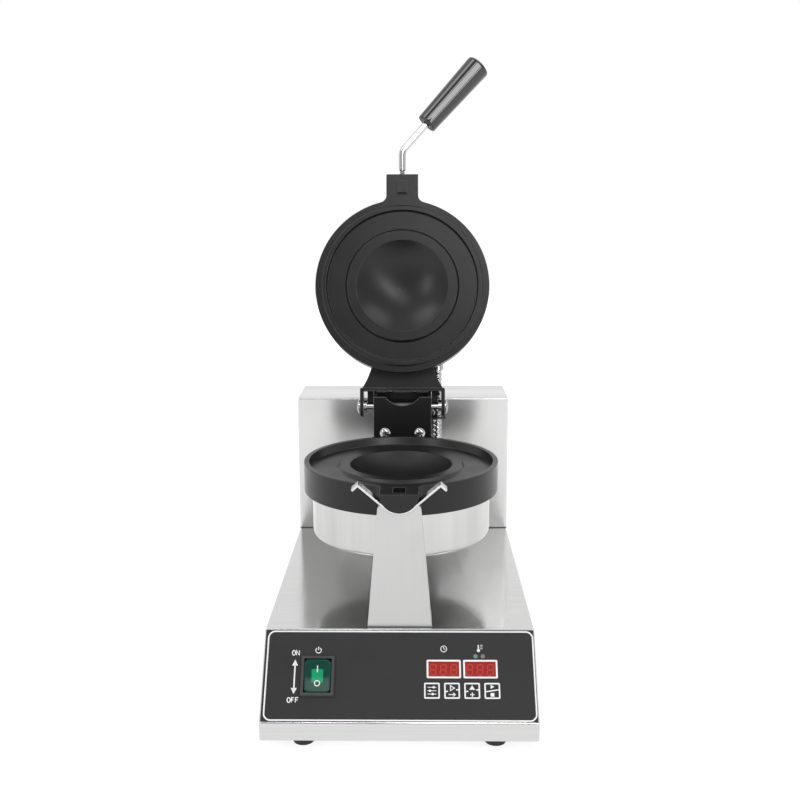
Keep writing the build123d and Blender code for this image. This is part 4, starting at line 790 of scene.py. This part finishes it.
def wordGrids(word, x, s):
    grids, height, width = [], panel["letterHeight"], panel["letterLine"]
    step = height * 0.86
    left = x - (len(word) - 1) * step / 2 - height * 0.3
    for place, letter in enumerate(word):
        corner = np.array([left + place * step, s - height / 2])
        if letter == "O":
            ring = arcLine(0, 0.5, 0.5) * (0.64, 1) + (0.3, 0)
            grids.append(inkLine(corner + ring * height, width, True))
        for line in letters.get(letter, []):
            grids.append(inkLine(corner + np.array(line) * height, width))
    return grids


def panelPrint():
    x, s, width, length, corner, line = panel["border"]
    grids = [inkLine(roundedRectangle(x, s, width, length, corner, 10), line, True)]
    for word, x, s in panel["words"]:
        grids += wordGrids(word, x, s)
    x, (bottom, top), head = panel["arrowX"], panel["arrowEnds"], panel["arrowHead"]
    grids.append(inkLine([(x, bottom + head / 2), (x, top - head / 2)], panel["arrowLine"]))
    for tip, way in ((top, -1), (bottom, 1)):
        grids.append(inkArea([(x, tip), (x - head / 2, tip + way * head), (x + head / 2, tip + way * head)]))
    # Mains sign over the switch: an open ring with an upright bar
    x, s = panel["mainsSign"]
    grids += [inkLine(arcLine(x, s, 2.5, 125, 415), 0.8), inkLine([(x, s + 0.2), (x, s + 3.3)], 0.8)]
    # Clock over the left display, thermometer with three marks over the right one
    x, s = panel["clock"]
    grids += [inkLine(arcLine(x, s, 2.7), 0.65, True), inkLine([(x, s + 2), (x, s), (x + 1.5, s - 0.6)], 0.6)]
    x, s = panel["thermometer"]
    grids += [inkArea(arcLine(x, s, 1.45)), inkLine([(x, s + 0.4), (x, s + 5.2)], 1.15)]
    grids += [inkLine([(x + 1.8, s + mark), (x + 3.8, s + mark)], 0.55) for mark in (1.7, 3.3, 4.9)]
    edge = panel["frameWidth"]
    wide, long = np.array(panel["displaySize"]) - edge
    for x in panel["displays"]:
        grids.append(inkLine(roundedRectangle(x, panel["displayS"], wide, long, 0.4, 3), edge, True))
    return gridPiece("panel_print", grids, slopePlace)


def digitGrids(x, s, height=9.4, width=5.2, stroke=1.35, slant=0.08):
    # Seven bars with pointed ends, each a filled hexagon, leaning a little to the right, and a point
    half, bar, gap, top = height / 4, stroke / 2, 0.22, panel["top"] + panel["digitLift"]
    spots = [(0, 2, 0), (1, 1, 1), (1, -1, 1), (0, -2, 0), (-1, -1, 1), (-1, 1, 1), (0, 0, 0)]
    grids = []
    for across, up, upright in spots:
        middle = np.array([across * width / 2, up * half])
        reach = (half if upright else width / 2) - gap
        hexagon = np.array([(-reach, 0), (-reach + bar, bar), (reach - bar, bar), (reach, 0),
                            (reach - bar, -bar), (-reach + bar, -bar)])
        hexagon = (hexagon[:, ::-1] if upright else hexagon) + middle
        hexagon[:, 0] += hexagon[:, 1] * slant
        grids.append(inkArea(hexagon + (x, s), top))
    grids.append(inkArea(arcLine(x + width / 2 + 1.5, s - height / 2, 0.5, steps=12), top))
    return grids


def keyPrint(name, x):
    s, size, line = panel["keyS"], panel["keySize"], panel["keyLine"]

    def at(*points):
        return np.array(points) + (x, s)

    grids = [inkLine(roundedRectangle(x, s, size - line, size - line, 0.5, 3), line, True)]
    if name in ("shift_key", "add_key"):
        grids += [inkLine(at((-5.7, -0.75), (-3.6, -0.4)), 1.1), inkLine(at((3.6, 0.7), (5.7, 1.05)), 1.1)]
    if name == "set_key":        # three sliders
        for place, knob in ((3.0, 1.6), (0, -1.8), (-3.0, 0.6)):
            grids.append(inkLine(at((-4, place), (4, place)), 0.6))
            grids.append(inkArea(arcLine(x + knob, s + place, 1.1, steps=20), printHigh + 0.02))
    if name == "shift_key":      # one place to the right
        grids += [inkLine(at((-1.4, 0.2), (-1.4, 4.6), (2.2, 2.4)), 0.8, True),
                  inkLine(at((-3.2, -3.4), (2.6, -3.4)), 0.8),
                  inkLine(at((0.9, -1.8), (2.8, -3.4), (0.9, -5.0)), 0.8)]
    if name == "add_key":        # upwards, and a plus
        grids += [inkArea(at((0, 4.9), (-2.7, 0.9), (2.7, 0.9))),
                  inkLine(at((-2.0, -3.4), (2.0, -3.4)), 0.85), inkLine(at((0, -5.4), (0, -1.4)), 0.85)]
    if name == "start_key":      # start over stop
        grids += [inkLine(at((-5.7, -0.75), (5.7, 1.05)), 1.1),
                  inkArea(at((1.9, 3.6), (-1.4, 5.4), (-1.4, 1.8))),
                  inkArea(at((-1.7, -1.9), (-1.7, -5.1), (1.7, -5.1), (1.7, -1.9)))]
    return gridPiece(name + "_print", grids, slopePlace)


dress(panelPrint(), printWhiteWithGlow, "base")
shiftX, shiftS = panel["digitShift"]
digits = [grid for x in panel["displays"] for step in (-1, 0, 1)
          for grid in digitGrids(x + step * panel["digitStep"] + shiftX, panel["displayS"] + shiftS)]
dress(gridPiece("display_digits", digits, slopePlace), digitRed, "base")
for name, x in panel["keys"].items():
    dress(keyPrint(name, x), printWhiteWithGlow, name)
print("panel: printed")

# Rocker: a cap with round corners whose top follows a shallow V, on a pin, with a lit window and two signs
rocker = {
    "width": 24.2, "length": 29.2, "corner": 4.4, "pivotDepth": 2.0, "angle": 8.0, "rise": 3.4,
    "keel": 3.2, "edge": 1.1, "valley": 0.012, "skirt": 1.2, "pinRadius": 1.4, "pinReach": 13.45,
    "window": (10.4, 11.6), "windowShift": 0.3, "windowLift": 0.04, "windowSink": 0.1,
    "signS": 6.3, "barHalf": 2.9, "ringRadius": 2.35, "signLift": 0.12,
}


def rockerHeight(s):
    # A V whose valley is rounded: the square root keeps it smooth at the middle
    dip = math.tan(math.radians(rocker["angle"])) * rocker["length"] / 2
    ease = np.sqrt((s / (rocker["length"] / 2)) ** 2 + rocker["valley"])
    return rocker["pivotDepth"] + rocker["rise"] + dip * (ease - 0.5)


def rockerCap():
    # Rings go from the middle of the top over a quarter-round edge, down the sides and in under the keel
    coarse = roundedRectangle(0, 0, rocker["width"], rocker["length"], rocker["corner"], 8)
    outer = evenRun(np.vstack([coarse, coarse[:1]]), 0.7)[0][:-1]
    inner = outer * (1 - 2 * rocker["edge"] / rocker["width"], 1 - 2 * rocker["edge"] / rocker["length"])
    rings = [np.c_[inner * share, rockerHeight(inner[:, 1] * share)] for share in np.linspace(0, 1, 24)]
    for turn in np.linspace(0, math.pi / 2, 6)[1:]:
        flat = inner + (outer - inner) * math.sin(turn)
        drop = rocker["edge"] * (1 - math.cos(turn))
        rings.append(np.c_[flat, rockerHeight(flat[:, 1]) - drop])
    slant = np.abs(outer[:, 1]) / (rocker["length"] / 2)
    rings.append(np.c_[outer, np.full(len(outer), rocker["skirt"])])
    rings.append(np.c_[outer * (1, 0.93), -rocker["keel"] + slant * 2.0])
    rings.append(np.c_[outer * 0, np.full(len(outer), -rocker["keel"])])
    return np.stack(rings), False, True


tiltSin, tiltCos = sinCos(rocker["angle"])
pivot = np.array([*panel["switch"], slope["film"] - rocker["pivotDepth"]]) * mm
rockerPlace = slopePlace @ placeMatrix(pivot, (1, 0, 0), (0, tiltCos, tiltSin), (0, -tiltSin, tiltCos))
pinLine = np.linspace(-1, 1, 5)[:, None] * (rocker["pinReach"], 0, 0)
rockerPin = tubeGrid(pinLine, np.full(len(pinLine), rocker["pinRadius"]), (0, 0, 1))
rockerShape = gridPiece("rocker_cap", [rockerCap(), rockerPin], rockerPlace, 50)
dress(rockerShape, rockerGreen, "rocker", "power_rocker")

wide, long = rocker["window"]
windowX, windowS = np.meshgrid(np.linspace(-wide / 2, wide / 2, 9), np.linspace(-long / 2, long / 2, 25))
windowS = windowS + rocker["windowShift"]
windowTop = np.stack([windowX, windowS, rockerHeight(windowS) + rocker["windowLift"]], -1)
windowLow = windowTop - (0, 0, rocker["windowSink"])
windowRing = np.concatenate([windowTop, windowLow[:, ::-1]], 1)
windowEnds = [np.broadcast_to(windowRing[k].mean(0), windowRing[:1].shape) for k in (0, -1)]
windowShell = np.concatenate([windowEnds[0], windowRing, windowEnds[1]])
dress(gridPiece("rocker_window", [(windowShell, False, True)], rockerPlace), lampWindow, "rocker")

signS, barHalf = rocker["signS"], rocker["barHalf"]
barLine = np.c_[np.zeros(12), np.linspace(signS - barHalf, signS + barHalf, 12)]
signs = [ribbonGrid(barLine, 0.95, 0.0, rocker["signLift"], lift=rockerHeight),
         ribbonGrid(arcLine(0, -signS, rocker["ringRadius"]), 0.85, 0.0, rocker["signLift"], closed=True,
                    lift=rockerHeight)]
dress(gridPiece("rocker_signs", signs, rockerPlace), printWhiteWithGlow, "rocker")
print("rocker: made")

# Painted shade: thin dark strips stand in for the shadow in the joints where the rear housing and the post's
# foot stand on the deck
seam = {"x": 124.7, "front": 345.2, "back": 423.1, "width": 0.5, "height": 0.9, "postGap": 0.1,
        "postWidth": 0.6, "postHeight": 0.8}
deck, front = deckZ / mm, frontY / mm
seamLine = [(-seam["x"], front + seam["back"]), (-seam["x"], front + seam["front"]),
            (seam["x"], front + seam["front"]), (seam["x"], front + seam["back"])]
postLow, postHigh = np.array(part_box("front_post")) / mm
postLine = [(x, postLow[1] - seam["postGap"]) for x in (postLow[0], postHigh[0])]
seamShadeStrips = [ribbonGrid(seamLine, seam["width"], deck, deck + seam["height"]),
         ribbonGrid(postLine, seam["postWidth"], deck, deck + seam["postHeight"])]
dress(gridPiece("deck_seam_shade", seamShadeStrips, plain), paintedSeamShade, "base")

# Camera, floor and light
view = {"lens": 45.04, "place": (0.0145, frontY - 0.8139, 0.4863), "pitch": 11.42, "yaw": -0.88,
        "roll": -0.22}
cameraData = bpy.data.cameras.new("viewCamera")
cameraData.lens, cameraData.sensor_width = view["lens"], 36
camera = linked("viewCamera", cameraData)
scene.camera = camera
pitch, yaw, roll = (math.radians(view[key]) for key in ("pitch", "yaw", "roll"))
ahead = Vector((math.sin(yaw) * math.cos(pitch), math.cos(yaw) * math.cos(pitch), -math.sin(pitch)))
sideways = Vector((math.cos(yaw), -math.sin(yaw), 0))
above = sideways.cross(ahead)
rightward = sideways * math.cos(roll) + above * math.sin(roll)
upward = above * math.cos(roll) - sideways * math.sin(roll)
cameraTurn = Matrix((rightward, upward, -ahead)).transposed().to_4x4()
camera.matrix_world = Matrix.Translation(view["place"]) @ cameraTurn
scene.view_settings.view_transform = "Standard"


def seenDirectly(tree):
    # 1 for camera, glossy and transmission rays, 0 for the rays that light things
    rays = node(tree, "LightPath")
    first, second = node(tree, "Math", operation="MAXIMUM"), node(tree, "Math", operation="MAXIMUM")
    wire(tree, rays, "Is Camera Ray", first, 0)
    wire(tree, rays, "Is Glossy Ray", first, 1)
    wire(tree, first, "Value", second, 0)
    wire(tree, rays, "Is Transmission Ray", second, 1)
    return second.outputs["Value"]


studio = {"ambient": 0.4, "frontLevel": 0.48, "frontSpan": (-0.8, 0.1), "floorGlow": 1.32,
          "floorShare": (0.6, 1.0), "floorSpan": (0.45, 0.95), "floorHalf": 4}
world = bpy.data.worlds.new("studio")
scene.world = world
world.use_nodes = True
worldTree = world.node_tree
background = withInputs(worldTree.nodes["Background"], Color=(1, 1, 1, 1))
# In reflections the room is white behind and beside the object and dimmer on the side of the camera
rays, direction = node(worldTree, "LightPath"), node(worldTree, "TexCoord")
parts = node(worldTree, "SeparateXYZ")
wire(worldTree, direction, "Generated", parts, "Vector")
room = rangeNode(worldTree, parts.outputs["Y"], studio["frontLevel"], 1.0, *studio["frontSpan"])
reflected, level = (withInputs(node(worldTree, "Mix", data_type="FLOAT"), A=start)
                    for start in (1.0, studio["ambient"]))
wire(worldTree, rays, "Is Glossy Ray", reflected, "Factor")
join(worldTree, room, reflected.inputs["B"])
join(worldTree, seenDirectly(worldTree), level.inputs["Factor"])
wire(worldTree, reflected, "Result", level, "B")
wire(worldTree, level, "Result", background, "Strength")

floorMesh = bpy.data.meshes.new("floor")
half = studio["floorHalf"]
floorMesh.from_pydata([(-half, -half, 0), (half, -half, 0), (half, half, 0), (-half, half, 0)], [],
                      [(0, 1, 2, 3)])
floor = linked("floor", floorMesh)
floorMaterial, floorTree, floorShader = startMaterial("floorWhite", (0.9, 0.9, 0.9), 0.6)
glow = withInputs(node(floorTree, "Emission"), Strength=studio["floorGlow"])
mixer = node(floorTree, "MixShader")
# Near the object the floor keeps its shadow; further out it turns into the white background
where, away = node(floorTree, "TexCoord"), node(floorTree, "VectorMath", operation="LENGTH")
wire(floorTree, where, "Object", away, 0)
share = node(floorTree, "Math", operation="MULTIPLY")
join(floorTree, seenDirectly(floorTree), share.inputs[0])
join(floorTree, rangeNode(floorTree, away.outputs["Value"], *studio["floorShare"], *studio["floorSpan"]),
     share.inputs[1])
wire(floorTree, share, "Value", mixer, "Fac")
wire(floorTree, floorShader, "BSDF", mixer, 1)
wire(floorTree, glow, "Emission", mixer, 2)
join(floorTree, mixer.outputs["Shader"], floorTree.nodes["Material Output"].inputs["Surface"])
floor.data.materials.append(floorMaterial)


def softLight(name, place, aim, size, power):
    data = bpy.data.lights.new(name, "AREA")
    data.shape, data.size, data.size_y, data.energy = "RECTANGLE", size[0], size[1], power
    lamp = linked(name, data)
    lamp.location = place
    lamp.rotation_euler = (Vector(aim) - Vector(place)).to_track_quat("-Z", "Y").to_euler()
    return lamp


# A wide panel and a strip at each side of it run across the line that the grip's middle reflects
key = {"place": Vector((0.67, -1.79, 1.34)), "aim": Vector((0.05, 0.17, 0.6)), "height": 0.38,
       "gripAxis": Vector((0.6626, 0.1863, 0.7255))}
keyAcross = key["gripAxis"].cross(key["place"] - key["aim"]).normalized()
for name, shift, wide, power in (("keyPanel", 0, 1.8, 14.5), ("keyStripLeft", -1.25, 0.2, 2.0),
                                 ("keyStripRight", 1.25, 0.2, 2.0)):
    place = key["place"] + keyAcross * shift
    lamp = softLight(name, place, key["aim"], (wide, key["height"]), power)
    facing = (place - key["aim"]).normalized()
    along = facing.cross(keyAcross).normalized()
    lamp.rotation_euler = Matrix((along.cross(facing), along, facing)).transposed().to_euler()
softLight("leftPanel", (-1.3, -1.4, 1.0), (0, 0, 0.25), (0.5, 0.9), 5)
softLight("topLeft", (-0.8, -0.2, 1.7), (0, 0, 0.2), (0.6, 0.8), 4)
softLight("topRight", (0.8, -0.1, 1.7), (0, 0, 0.2), (0.6, 0.8), 3)
print("camera, floor and light: made")
